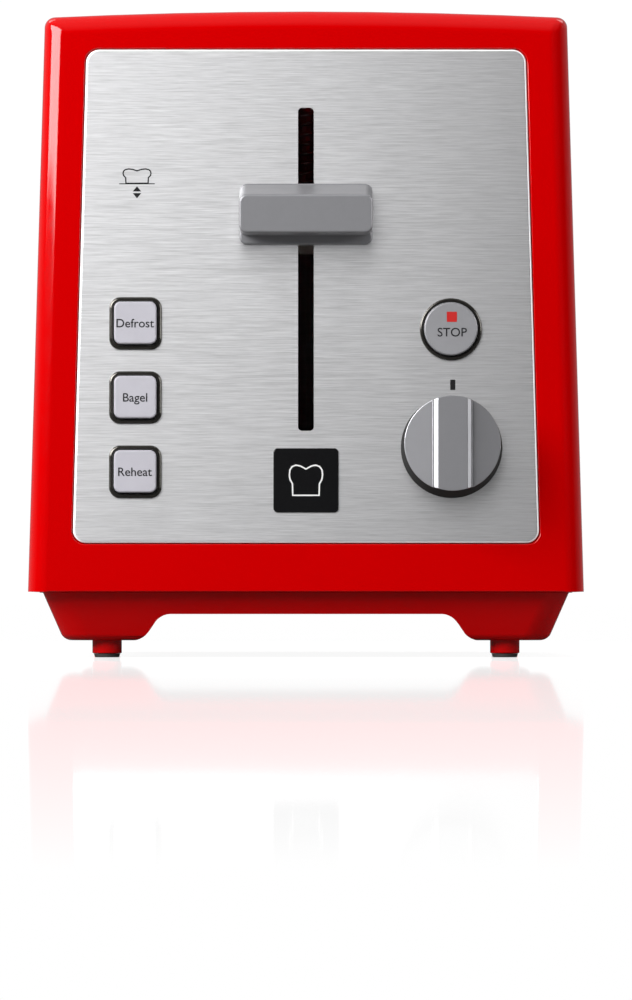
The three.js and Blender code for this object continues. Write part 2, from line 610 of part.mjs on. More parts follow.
/** The lift spring, hooked between the frame's top lug and the bush. */
function returnSpring() {
  const [bottom, top, turns, radius] = [143.9, 179.9, 12, 4.3];
  class Helix extends THREE.Curve {
    getPoint(t, target = new THREE.Vector3()) {
      const angle = t * turns * 2 * Math.PI;
      const z = bottom + t * (top - bottom);
      return target.set(radius * Math.cos(angle), ROD.y + radius * Math.sin(angle), z);
    }
  }
  const wire = new THREE.Shape().absarc(0, 0, 0.55, 0, 2 * Math.PI);
  const coil = { steps: turns * 9, extrudePath: new Helix(), bevelEnabled: false, curveSegments: 5 };
  return solid(new THREE.ExtrudeGeometry(wire, coil));
}

/** The hold-down magnet: a wound bobbin between the cheeks of a steel core. */
function electromagnet() {
  const core = join(block(-26, -10, -104, -90, 35.8, 38.3), block(-21, -15, -100, -94, 36, 54));
  return join(core, upright(-18, -97, 38, 52, 6.5, undefined, 16));
}

const contactBlock = () => join(block(10, 26, -104, -90, 35.8, 46), block(12, 24, -102, -100, 45, 52));

// ----------------------------------------------------------------------------------------------------
// Toasting chamber

/** One end wall of the chamber, with ways through for racks, guides and heater tabs. */
function chamberWall(end) {
  const [near, far] = [CHAMBER.half, CHAMBER.half + CHAMBER.sheet].map((y) => end * y);
  const [y0, y1] = inOrder(near, far);
  const wall = block(-CHAMBER.width / 2, CHAMBER.width / 2, y0, y1, CHAMBER.bottom, CHAMBER.top);
  const through = (x0, x1, z0, z1) => block(x0, x1, y0 - 5, y1 + 5, z0, z1);
  const ways = [-1, 1].flatMap((side) => {
    const across = (a, b, z0, z1) => through(...inOrder(side * a, side * b), z0, z1);
    const rack = across(BREAD_SLOT.x - 1.6, BREAD_SLOT.x + 1.6, 20, 128);
    const guides = [GUIDE.bottom, GUIDE.top].flatMap((z) => [
      across(BREAD_SLOT.x - 22.8, BREAD_SLOT.x - 11.2, z - 1.6, z + 1.6),
      across(BREAD_SLOT.x + 11.2, BREAD_SLOT.x + 22.8, z - 1.6, z + 1.6),
    ]);
    const tabs = CARD.x.flatMap((x) =>
      CARD.tabs.map((z) => across(x - 0.8, x + 0.8, z - 0.5, z + CARD.tab + 0.5)));
    return [rack, ...guides, ...tabs];
  });
  return cut(wall, ways);
}

/** An outer wall of the chamber, a bright sheet with its upper edge turned in. */
function reflector(side) {
  const [x0, x1] = side > 0 ? [67, 67.8] : [-67.8, -67];
  const half = CHAMBER.half - GAP;
  const turned = side > 0 ? [60, 67.5] : [-67.5, -60];
  return join(block(x0, x1, -half, half, CHAMBER.bottom + 1, 182), block(...turned, -half, half, 181.2, 182));
}

/** A mica heater card, with tabs that rest in the end walls. */
function heaterCard(x) {
  const reach = CHAMBER.half + CHAMBER.sheet;
  const edge = [[CARD.half, CARD.bottom]];
  for (const z of CARD.tabs) {
    edge.push([CARD.half, z], [reach, z], [reach, z + CARD.tab], [CARD.half, z + CARD.tab]);
  }
  edge.push([CARD.half, CARD.top]);
  const mirrored = edge.map(([y, z]) => [-y, z]).reverse();
  return fromSide(polygon([...edge, ...mirrored]), x - CARD.thick / 2, x + CARD.thick / 2);
}

/** The heating ribbon: it runs to and fro up the side of a card that faces the bread. */
function heaterRibbon(cardX, side) {
  const { half, pitch, width, runs } = RIBBON;
  const z = (run) => CARD.bottom + 9 + run * pitch;
  const up = [];
  const down = [];
  for (let run = 0; run < runs; run += 2) {
    up.push([run ? width - half : -half, z(run)], [half, z(run)]);
    down.push([-half, z(run) + width]);
    if (run + 1 < runs) {
      up.push([half, z(run + 1) + width], [width - half, z(run + 1) + width]);
      down.push([half - width, z(run) + width], [half - width, z(run + 1)], [-half, z(run + 1)]);
    } else {
      up.push([half, z(run) + width]);
    }
  }
  const near = cardX + side * (CARD.thick / 2 + GAP);
  return fromSide(polygon([...up, ...down.reverse()]), ...inOrder(near, near + side * RIBBON.thick));
}

/** A bread guide: upright wires between two rods, which slide in the end walls and close on the slice. */
function breadGuide(x) {
  const rods = [GUIDE.bottom, GUIDE.top].map((z) =>
    lengthwise(x, z, -GUIDE.half, GUIDE.half, GUIDE.wire, undefined, 6),
  );
  const wires = [];
  for (let i = 0; i < GUIDE.count; i++) {
    const y = (i - (GUIDE.count - 1) / 2) * 16.5;
    wires.push(block(x - 0.8, x + 0.8, y - 0.8, y + 0.8, GUIDE.bottom, GUIDE.top));
  }
  return join(rods, wires);
}

const terminalBlock = () => block(34, 62, 77.4, 91, 50, 62);

// ----------------------------------------------------------------------------------------------------
// Assembly

const toaster = new THREE.Group();
toaster.name = "toaster";
toaster.position.y = TO_CENTRE;

function place(name, piece, material) {
  const mesh = new THREE.Mesh(geometryOf(piece), material);
  mesh.name = name;
  toaster.add(mesh);
}

place("front_cover", frontCover(), redGloss);
place("rear_cover", rearCover(), redGloss);
place("wrap_cover", wrapCover(), redGloss);
place("slot_plate", slotPlate(), brushedSteel);
place("control_plate", controlPlate(), brushedSteel);
place("badge", badge(), blackGloss);
place("base_tray", baseTray(), redGloss);

for (const end of ["front", "rear"]) {
  for (const [side, xSign] of [["left", -1], ["right", 1]]) {
    place(`foot_pad_${end}_${side}`, footPad(xSign * FOOT[end][0], FOOT[end][1]), rubber);
    place(`base_screw_${end}_${side}`, baseScrew(xSign * SCREW[end][0], SCREW[end][1]), plainSteel);
  }
}

place("crumb_tray", crumbTray(), plainSteel);
place("crumb_tray_handle", crumbTrayHandle(), redGloss);
place("cord_gland", cordGland(), blackPlastic);
place("terminal_block", terminalBlock(), nylon);

for (const [name, v] of Object.entries(BUTTON_V)) {
  place(`${name}_button`, pushButton(v), paleButton);
  place(`${name}_bezel`, buttonBezel(v), darkChrome);
}
place("stop_button", stopButton(), greyPlastic);
place("stop_bezel", stopBezel(), darkChrome);
place("browning_knob", browningKnob(), greyPlastic);
place("pot_shaft", potShaft(), plainSteel);
place("browning_pot", browningPot(), blackPlastic);
place("button_board", buttonBoard(), laminate);
place("control_board", controlBoard(), laminate);

place("lever_knob", leverKnob(), greyPlastic);
place("carriage_bracket", carriageBracket(), plainSteel);
place("carriage_bush", carriageBush(), nylon);
place("armature_plate", armaturePlate(), plainSteel);
place("mechanism_frame", mechanismFrame(), plainSteel);
place("guide_rod", guideRod(), plainSteel);
place("return_spring", returnSpring(), springSteel);
place("electromagnet", electromagnet(), copper);
place("contact_block", contactBlock(), blackPlastic);

place("chamber_front_wall", chamberWall(-1), plainSteel);
place("chamber_rear_wall", chamberWall(1), plainSteel);
for (const [side, xSign] of [["left", -1], ["right", 1]]) {
  const slot = xSign * BREAD_SLOT.x;
  place(`reflector_${side}`, reflector(xSign), plainSteel);
  place(`bread_rack_${side}`, breadRack(slot), plainSteel);
  for (const [name, cardX, facing] of [["inner", CARD.x[0], 1], ["outer", CARD.x[1], -1]]) {
    place(`heater_card_${side}_${name}`, heaterCard(xSign * cardX), mica);
    place(`heater_ribbon_${side}_${name}`, heaterRibbon(xSign * cardX, xSign * facing), nichrome);
    place(`bread_guide_${side}_${name}`, breadGuide(slot - xSign * facing * GUIDE.open), springSteel);
  }
}

export default toaster;
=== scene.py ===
"""A two-slot pop-up toaster in red and brushed steel, laid out as an add-on.

Every piece is in metres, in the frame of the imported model: +X to the right of someone facing the controls, +Y from
the controls to the back, +Z up, with the origin on the table under the middle of the toaster.
"""

import math
from contextlib import contextmanager

import bmesh
import bpy
from bpy.props import FloatProperty, FloatVectorProperty, IntProperty, PointerProperty, StringProperty
from mathutils import Matrix, Vector


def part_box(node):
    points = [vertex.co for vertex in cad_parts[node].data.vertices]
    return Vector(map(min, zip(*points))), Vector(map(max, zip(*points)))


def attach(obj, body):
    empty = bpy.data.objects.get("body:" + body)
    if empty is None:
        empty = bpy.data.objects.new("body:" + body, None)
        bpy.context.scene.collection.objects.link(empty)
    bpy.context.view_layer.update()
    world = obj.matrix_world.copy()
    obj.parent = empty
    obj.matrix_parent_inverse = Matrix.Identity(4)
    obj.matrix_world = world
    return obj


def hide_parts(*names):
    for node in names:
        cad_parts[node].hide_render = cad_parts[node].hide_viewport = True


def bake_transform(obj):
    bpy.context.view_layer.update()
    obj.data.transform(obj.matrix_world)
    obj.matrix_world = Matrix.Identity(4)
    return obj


bl_info = {
    "name": "Pop-up Toaster",
    "version": (1, 0, 0),
    "blender": (4, 5, 0),
    "location": "3D View > Sidebar > Toaster",
    "description": "Builds a two-slot pop-up toaster piece by piece",
    "category": "Add Mesh",
}

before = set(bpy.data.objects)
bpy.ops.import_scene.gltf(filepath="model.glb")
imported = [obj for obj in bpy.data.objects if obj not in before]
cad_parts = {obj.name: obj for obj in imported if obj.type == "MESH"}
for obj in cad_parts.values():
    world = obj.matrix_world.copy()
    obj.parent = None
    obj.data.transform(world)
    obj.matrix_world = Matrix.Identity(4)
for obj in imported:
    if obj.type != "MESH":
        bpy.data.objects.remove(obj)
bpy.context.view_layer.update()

MM = 0.001
TOUCH = 1e-5  # two points closer than this lie in one plane
GAP = 0.3 * MM
PRINT = 0.05 * MM  # thickness of a printed mark

# The housing's own planes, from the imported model
FRONT_LOW, FRONT_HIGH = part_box("front_cover")
REAR_LOW, REAR_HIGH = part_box("rear_cover")
TOP_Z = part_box("wrap_cover")[1].z
SKIRT_Z = FRONT_LOW.z
MID_Y = (FRONT_LOW.y + REAR_HIGH.y) / 2
WIDTH = FRONT_HIGH.x - FRONT_LOW.x
DEPTH = REAR_HIGH.y - FRONT_LOW.y
END_LEAN = math.radians(3)
SIDE_LEAN = math.radians(1.55)
CROWN_RADIUS = 1.65
CAP_DEPTH = 22 * MM

FACE_ORIGIN = Vector((0, FRONT_LOW.y, SKIRT_Z))
FACE_NORMAL = Vector((0, -math.cos(END_LEAN), math.sin(END_LEAN)))
BACK_ORIGIN = Vector((0, REAR_HIGH.y, SKIRT_Z))

# Places on the front face: u to the right of its middle, v up the face from the skirt
PLATE_V = (14.8 * MM, 165.4 * MM)
PLATE_WIDTH = (141.6 * MM, 133.8 * MM)
PLATE_PROUD = 0.3 * MM
SLOT_V = (48.9 * MM, 147.6 * MM)
BUTTON_U = -51.8 * MM
BUTTON_V = {"defrost": 81.6 * MM, "bagel": 59 * MM, "reheat": 36.4 * MM}
STOP_PLACE = (44 * MM, 79.8 * MM)
KNOB_PLACE = (44.2 * MM, 43.8 * MM)
BADGE_V = 33.8 * MM


# ----------------------------------------------------------------------------------------------------------------
# Settings


def length(label, text, millimetres):
    return FloatProperty(name=label, description=text, default=millimetres * MM, min=0, unit="LENGTH", precision=5)


def colour(label, text, value):
    return FloatVectorProperty(name=label, description=text, default=value, min=0, max=1, size=3, subtype="COLOR")


class ToasterSizes(bpy.types.PropertyGroup):
    end_edge: length("End edge", "Rounding between the front or back face and the sides", 6)
    top_corner: length("Top corner", "Rounding between the sides and the top", 3)
    plastic: length("Cover wall", "Wall thickness of the two end covers", 2.4)
    sheet: length("Wrap wall", "Sheet thickness of the wrap cover", 1.2)
    plate_corner: length("Plate corner", "Corner radius of the control plate", 4)
    plate_thickness: length("Plate thickness", "Thickness of the control plate", 1.2)
    plate_rim: length("Plate rim", "Rounding along the control plate's edge", 0.7)
    slot_width: length("Lever slot", "Width of the slot that the lever travels in", 4.8)
    bread_slot_width: length("Bread slot width", "Width of a bread slot", 34)
    bread_slot_length: length("Bread slot length", "Length of a bread slot", 142)
    button: length("Button", "Side of a square button", 12.9)
    bezel: length("Bezel", "Side of a square button's bezel", 16)
    stop_cap: length("Stop button", "Diameter of the stop button", 16.3)
    stop_bezel: length("Stop bezel", "Diameter of the stop button's bezel", 18.9)
    knob_base: length("Knob base", "Diameter of the browning knob at its base", 30.8)
    knob_face: length("Knob face", "Diameter of the browning knob at its front", 28.8)
    knob_grip: length("Knob grip", "Width of the grip across the browning knob", 11.4)
    label_height: length("Label height", "Height of a capital letter on a button", 2.7)


class ToasterColours(bpy.types.PropertyGroup):
    red: colour("Red", "Housing, base and crumb tray handle", (0.48, 0.0, 0.0005))
    steel: colour("Steel", "Control plate and slot plate", (0.63, 0.63, 0.64))
    grey: colour("Grey", "Lever, browning knob and stop button", (0.235, 0.235, 0.247))
    pale: colour("Pale grey", "Square buttons", (0.315, 0.308, 0.34))
    bezel: colour("Bezel", "Dark chrome of the bezels", (0.11, 0.105, 0.095))
    ink: colour("Ink", "Printed labels and marks", (0.012, 0.012, 0.013))
    stop_red: colour("Stop mark", "Square mark on the stop button", (0.5, 0.008, 0.006))
    rubber: colour("Rubber", "Foot pads", (0.05, 0.043, 0.04))


# ----------------------------------------------------------------------------------------------------------------
# Modelling by hand: selecting, editing, cutting


def solo(obj):
    """Makes one object the only selected one, and the active one."""
    bpy.ops.object.select_all(action="DESELECT")
    obj.select_set(True)
    bpy.context.view_layer.objects.active = obj


def settle(obj):
    """Moves the object's place into its mesh."""
    solo(obj)
    bpy.ops.object.transform_apply(location=True, rotation=True, scale=True)


def add(kind, name, stretch=(1, 1, 1), **where):
    """Adds a primitive at its place and size, and names it."""
    bpy.ops.object.select_all(action="DESELECT")
    getattr(bpy.ops.mesh, f"primitive_{kind}_add")(**where)
    made = bpy.context.object
    made.name = name
    made.data.name = name
    made.scale = stretch
    settle(made)
    return made


@contextmanager
def editing(obj):
    """Edit mode for one object, with nothing selected."""
    solo(obj)
    bpy.ops.object.mode_set(mode="EDIT")
    bpy.ops.mesh.select_all(action="DESELECT")
    yield
    bpy.ops.object.mode_set(mode="OBJECT")


def corners(item):
    """The vertices of a vertex, edge or face."""
    return item.verts if hasattr(item, "verts") else [item]


def select(kind, test):
    """In edit mode, selects the vertices, edges or faces that pass a test."""
    bpy.ops.mesh.select_mode(type=kind)
    bpy.ops.mesh.select_all(action="DESELECT")
    data = bpy.context.object.data
    mesh = bmesh.from_edit_mesh(data)
    items = {"VERT": mesh.verts, "EDGE": mesh.edges, "FACE": mesh.faces}[kind]
    chosen = [item for item in items if test(item)]
    if not chosen:
        raise RuntimeError(f"{bpy.context.object.name}: nothing passed the selection test")
    for item in chosen:
        item.select_set(True)
    mesh.select_flush_mode()
    bmesh.update_edit_mesh(data)


def sharp(edge):
    """True for an edge between two faces that meet at 30 degrees or more."""
    return edge.is_manifold and edge.calc_face_angle(0) > math.radians(30)


def at(axis, value):
    """A test: the whole item lies at this value of x, y or z."""
    index = "xyz".index(axis)
    return lambda item: all(abs(vertex.co[index] - value) < TOUCH for vertex in corners(item))


def rim(axis, value):
    """A test: a sharp edge that lies at this value of x, y or z."""
    level = at(axis, value)
    return lambda edge: sharp(edge) and level(edge)


def upright(edge):
    """A test: a sharp edge that runs up and down."""
    run = edge.verts[1].co - edge.verts[0].co
    return sharp(edge) and abs(run.z) > 0.9 * run.length


def soften(obj, width, test, segments=4):
    """Rounds the edges that pass a test."""
    with editing(obj):
        select("EDGE", test)
        bpy.ops.mesh.bevel(offset=width, segments=segments, affect="EDGES", clamp_overlap=True)


def modify(obj, kind, **values):
    """Adds a modifier with these values and applies it."""
    solo(obj)
    change = obj.modifiers.new(kind, kind)
    for key, value in values.items():
        setattr(change, key, value)
    bpy.ops.object.modifier_apply(modifier=change.name)


def combine(obj, others, operation):
    """Cuts each other object out of this one, or joins or intersects it, and removes it."""
    for other in others:
        modify(obj, "BOOLEAN", object=other, operation=operation, solver="EXACT")
        data = other.data
        bpy.data.objects.remove(other)
        bpy.data.meshes.remove(data)


def cut(obj, *others):
    combine(obj, others, "DIFFERENCE")


def fuse(obj, *others):
    combine(obj, others, "UNION")


def gather(name, pieces):
    """Joins pieces into one object."""
    bpy.ops.object.select_all(action="DESELECT")
    for piece in pieces:
        piece.select_set(True)
    bpy.context.view_layer.objects.active = pieces[0]
    bpy.ops.object.join()
    made = bpy.context.object
    made.name = name
    made.data.name = name
    return made


def copy(obj, name, offset=(0, 0, 0)):
    """A copy with its own mesh."""
    solo(obj)
    bpy.ops.object.duplicate()
    made = bpy.context.object
    made.name = name
    made.data.name = name
    made.location = offset
    settle(made)
    return made


def unwrap(obj):
    """Gives a piece UVs that run along X on its front and its top."""
    with editing(obj):
        bpy.ops.mesh.select_all(action="SELECT")
        bpy.ops.uv.cube_project(cube_size=0.2, correct_aspect=False)


def tidy_normals(obj):
    """Merges doubles and points the faces outwards."""
    with editing(obj):
        bpy.ops.mesh.select_all(action="SELECT")
        bpy.ops.mesh.remove_doubles(threshold=1e-6)
        bpy.ops.mesh.normals_make_consistent(inside=False)


def prism(name, outline, height, rounding=0, segments=5):
    """A polygon with the given corners in the plane of x and y, rounded if asked, and extruded up by a height."""
    obj = add("circle", name, vertices=len(outline), radius=MM, fill_type="NGON")
    with editing(obj):
        for index, (x, y) in enumerate(outline):
            select("VERT", lambda vertex, wanted=index: vertex.index == wanted)
            here = obj.data.vertices[index].co
            bpy.ops.transform.translate(value=(x - here.x, y - here.y, 0))
        bpy.ops.mesh.select_all(action="SELECT")
        if rounding:
            bpy.ops.mesh.bevel(offset=rounding, segments=segments, affect="VERTICES")
            bpy.ops.mesh.select_all(action="SELECT")
        bpy.ops.mesh.extrude_region_move(TRANSFORM_OT_translate={"value": (0, 0, height)})
        bpy.ops.mesh.select_all(action="SELECT")
        bpy.ops.mesh.normals_make_consistent(inside=False)
    return obj


def turned(obj, rows, place=(0, 0, 0)):
    """Turns an object so that its own axes lie along the given directions, and settles it there."""
    obj.matrix_world = Matrix.Translation(place) @ Matrix(rows).transposed().to_4x4()
    settle(obj)
    return obj


def seen_from_front(obj, near=0):
    """Stands a prism up: its x stays, its y becomes z, and its height runs forward from a depth."""
    return turned(obj, ((1, 0, 0), (0, 0, 1), (0, -1, 0)), (0, near, 0))


def seen_from_side(obj, left=0):
    """Stands a prism up: its x becomes y, its y becomes z, and its height runs along x."""
    return turned(obj, ((0, 1, 0), (0, 0, 1), (1, 0, 0)), (left, 0, 0))


def panel(name, width, height, radius, near, far, centre=(0, 0), top_width=None, segments=8):
    """A plate seen from the front, with rounded corners, from one depth to another."""
    u, v = centre
    obj = add("plane", name, (width, height, 1), size=1, rotation=(math.pi / 2, 0, 0), location=(u, near, v))
    with editing(obj):
        if top_width:
            select("VERT", lambda vertex: vertex.co.z > v)
            bpy.ops.transform.resize(value=(top_width / width, 1, 1), center_override=(u, near, v))
        bpy.ops.mesh.select_all(action="SELECT")
        bpy.ops.mesh.bevel(offset=radius, segments=segments, affect="VERTICES")
        bpy.ops.mesh.select_all(action="SELECT")
        bpy.ops.mesh.extrude_region_move(TRANSFORM_OT_translate={"value": (0, far - near, 0)})
        bpy.ops.mesh.select_all(action="SELECT")
        bpy.ops.mesh.normals_make_consistent(inside=False)
    return obj


def disc(name, diameter, near, far, centre=(0, 0), vertices=96):
    """A round plate seen from the front, from one depth to another."""
    u, v = centre
    return add(
        "cylinder",
        name,
        vertices=vertices,
        radius=diameter / 2,
        depth=far - near,
        rotation=(math.pi / 2, 0, 0),
        location=(u, (near + far) / 2, v),
    )


def block(name, low, high):
    """A box between two corners, to be cut or rounded."""
    low, high = Vector(low), Vector(high)
    return add("cube", name, high - low, size=1, location=(low + high) / 2)


def on_face(obj):
    """Moves a piece made flat at the origin onto the leaning front face."""
    obj.matrix_world = Matrix.Translation(FACE_ORIGIN) @ Matrix.Rotation(-END_LEAN, 4, "X")
    settle(obj)
    return obj


def on_back(obj):
    """Moves a piece made flat at the origin onto the leaning back face, where its depth runs forward."""
    obj.matrix_world = Matrix.Translation(BACK_ORIGIN) @ Matrix.Rotation(END_LEAN, 4, "X")
    settle(obj)
    return obj


def finish(obj, body, material, replaces=(), angle=35, name=None):
    """Smooths a finished piece, gives it its material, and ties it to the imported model."""
    if name:
        obj.name = name
        obj.data.name = name
    tidy_normals(obj)
    solo(obj)
    bpy.ops.object.shade_smooth_by_angle(angle=math.radians(angle))
    modify(obj, "WEIGHTED_NORMAL", keep_sharp=True, weight=60)
    obj.data.materials.clear()
    obj.data.materials.append(material)
    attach(obj, body)
    if replaces:
        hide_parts(*replaces)
    return obj


# ----------------------------------------------------------------------------------------------------------------
# Materials


def node_group(name, inputs, outputs):
    """A new shader node group with named sockets, and its input and output nodes."""
    group = bpy.data.node_groups.new(name, "ShaderNodeTree")
    for label, kind, value in inputs:
        socket = group.interface.new_socket(label, in_out="INPUT", socket_type=kind)
        if value is not None:
            socket.default_value = value
    for label, kind in outputs:
        group.interface.new_socket(label, in_out="OUTPUT", socket_type=kind)
    return group, group.nodes.new("NodeGroupInput"), group.nodes.new("NodeGroupOutput")


def math_node(tree, operation, first, second):
    """A math node between two values or sockets, and its result."""
    node = tree.nodes.new("ShaderNodeMath")
    node.operation = operation
    for socket, value in zip(node.inputs, (first, second)):
        if isinstance(value, (int, float)):
            socket.default_value = value
        else:
            tree.links.new(value, socket)
    return node.outputs[0]


def stretched_noise(tree, vector, stretch, detail, roughness=0.5):
    """Noise over a stretched space: long along an axis whose number is small."""
    mapping = tree.nodes.new("ShaderNodeMapping")
    mapping.inputs["Scale"].default_value = stretch
    noise = tree.nodes.new("ShaderNodeTexNoise")
    noise.inputs["Scale"].default_value = 1
    noise.inputs["Detail"].default_value = detail
    noise.inputs["Roughness"].default_value = roughness
    tree.links.new(vector, mapping.inputs["Vector"])
    tree.links.new(mapping.outputs["Vector"], noise.inputs["Vector"])
    return noise.outputs["Fac"]


def brushed_group(name, fine, broad):
    """Brush lines: a fine and a broad set of streaks, as one value around 0.5 and as a height."""
    group, inlet, outlet = node_group(
        name,
        [("Vector", "NodeSocketVector", None), ("Contrast", "NodeSocketFloat", 1.0)],
        [("Streaks", "NodeSocketFloat"), ("Height", "NodeSocketFloat"), ("Cloud", "NodeSocketFloat")],
    )
    vector = inlet.outputs["Vector"]
    thin = stretched_noise(group, vector, fine, 3, 0.65)
    wide = stretched_noise(group, vector, broad, 2, 0.5)
    mixed = math_node(group, "ADD", math_node(group, "MULTIPLY", thin, 0.62), math_node(group, "MULTIPLY", wide, 0.38))
    centred = math_node(group, "MULTIPLY", math_node(group, "SUBTRACT", mixed, 0.5), inlet.outputs["Contrast"])
    group.links.new(math_node(group, "ADD", centred, 0.5), outlet.inputs["Streaks"])
    group.links.new(thin, outlet.inputs["Height"])
    group.links.new(stretched_noise(group, vector, (14, 14, 14), 2), outlet.inputs["Cloud"])
    return group


def surface_group(name="moulded_surface"):
    """A moulded or painted surface: a slight waviness, a fine grain and a thin film of handling marks."""
    group, inlet, outlet = node_group(
        name,
        [
            ("Vector", "NodeSocketVector", None),
            ("Wave Scale", "NodeSocketFloat", 90.0),
            ("Grain Scale", "NodeSocketFloat", 2500.0),
            ("Grain", "NodeSocketFloat", 0.2),
        ],
        [("Height", "NodeSocketFloat"), ("Marks", "NodeSocketFloat")],
    )

    def noise(scale, detail):
        node = group.nodes.new("ShaderNodeTexNoise")
        node.inputs["Detail"].default_value = detail
        group.links.new(inlet.outputs["Vector"], node.inputs["Vector"])
        if isinstance(scale, str):
            group.links.new(inlet.outputs[scale], node.inputs["Scale"])
        else:
            node.inputs["Scale"].default_value = scale
        return node.outputs["Fac"]

    grain = math_node(group, "MULTIPLY", noise("Grain Scale", 2), inlet.outputs["Grain"])
    group.links.new(math_node(group, "ADD", noise("Wave Scale", 1), grain), outlet.inputs["Height"])
    marks = math_node(group, "MULTIPLY", noise(22, 6), noise(160, 4))
    group.links.new(marks, outlet.inputs["Marks"])
    return group


GROUPS = {}
MATERIALS = {}


def shared_group(name, maker):
    if name not in GROUPS:
        GROUPS[name] = maker()
    return GROUPS[name]


def new_material(name):
    material = bpy.data.materials.new(name)
    material.use_nodes = True
    tree = material.node_tree
    shader = tree.nodes["Principled BSDF"]
    coordinates = tree.nodes.new("ShaderNodeTexCoord").outputs["Object"]
    return material, tree, shader, coordinates


def remap(tree, value, low, high, start=0.0, end=1.0):
    """Maps a value from one range to another."""
    node = tree.nodes.new("ShaderNodeMapRange")
    for socket, number in zip(("From Min", "From Max", "To Min", "To Max"), (start, end, low, high)):
        node.inputs[socket].default_value = number
    tree.links.new(value, node.inputs["Value"])
    return node.outputs["Result"]


def two_tone(tree, value, dark, light, start=0.0, end=1.0):
    """A colour between two, by a value."""
    ramp = tree.nodes.new("ShaderNodeMix")
    ramp.data_type = "RGBA"
    ramp.inputs["A"].default_value = (*dark, 1)
    ramp.inputs["B"].default_value = (*light, 1)
    tree.links.new(remap(tree, value, 0, 1, start, end), ramp.inputs["Factor"])
    return ramp.outputs["Result"]


def add_bump(tree, shader, height, strength, distance):
    bump = tree.nodes.new("ShaderNodeBump")
    bump.inputs["Strength"].default_value = strength
    bump.inputs["Distance"].default_value = distance
    tree.links.new(height, bump.inputs["Height"])
    tree.links.new(bump.outputs["Normal"], shader.inputs["Normal"])


def rim_mask(tree, facing, side, flat):
    """1 where a surface has turned well away from the given way, 0 where it faces that way."""
    normal = tree.nodes.new("ShaderNodeTexCoord").outputs["Normal"]
    facing_way = tree.nodes.new("ShaderNodeVectorMath")
    facing_way.operation = "DOT_PRODUCT"
    facing_way.inputs[1].default_value = facing
    tree.links.new(normal, facing_way.inputs[0])
    return remap(tree, facing_way.outputs["Value"], 1, 0, side, flat)


def moulded(name, base, roughness, grain=0.2, spread=0.06, wave=0.00002, shade=0.94, metallic=0.0, coat=0.0,
            specular=0.5, grain_scale=2500.0, skirt_painted_shade=None):
    """A moulded plastic, rubber or painted surface; a skirt colour paints shade onto the side wall that turns away from
    the front.
    """
    if name in MATERIALS:
        return MATERIALS[name]
    material, tree, shader, coordinates = new_material(name)
    surface = tree.nodes.new("ShaderNodeGroup")
    surface.node_tree = shared_group("moulded_surface", surface_group)
    surface.inputs["Grain"].default_value = grain
    surface.inputs["Grain Scale"].default_value = grain_scale
    tree.links.new(coordinates, surface.inputs["Vector"])
    marks = surface.outputs["Marks"]
    darker = [channel * shade for channel in base]
    tone = two_tone(tree, marks, darker, base, 0.12, 0.34)
    shader.inputs["Metallic"].default_value = metallic
    # Painted shade: where the surface turns away from the front face, the colour goes to the near-black skirt colour,
    # which stands in for the shade round the piece's foot.
    if skirt_painted_shade:
        away = rim_mask(tree, FACE_NORMAL, 0.25, 0.6)
        sides = tree.nodes.new("ShaderNodeMix")
        sides.data_type = "RGBA"
        sides.inputs["B"].default_value = (*skirt_painted_shade, 1)
        tree.links.new(away, sides.inputs["Factor"])
        tree.links.new(tone, sides.inputs["A"])
        tone = sides.outputs["Result"]
        tree.links.new(remap(tree, away, metallic, 0), shader.inputs["Metallic"])
    tree.links.new(tone, shader.inputs["Base Color"])
    tree.links.new(remap(tree, marks, roughness + spread, roughness, 0.12, 0.36), shader.inputs["Roughness"])
    shader.inputs["Coat Weight"].default_value = coat
    shader.inputs["Coat Roughness"].default_value = 0.05
    shader.inputs["Specular IOR Level"].default_value = specular
    add_bump(tree, shader, surface.outputs["Height"], 0.35, wave)
    MATERIALS[name] = material
    return material


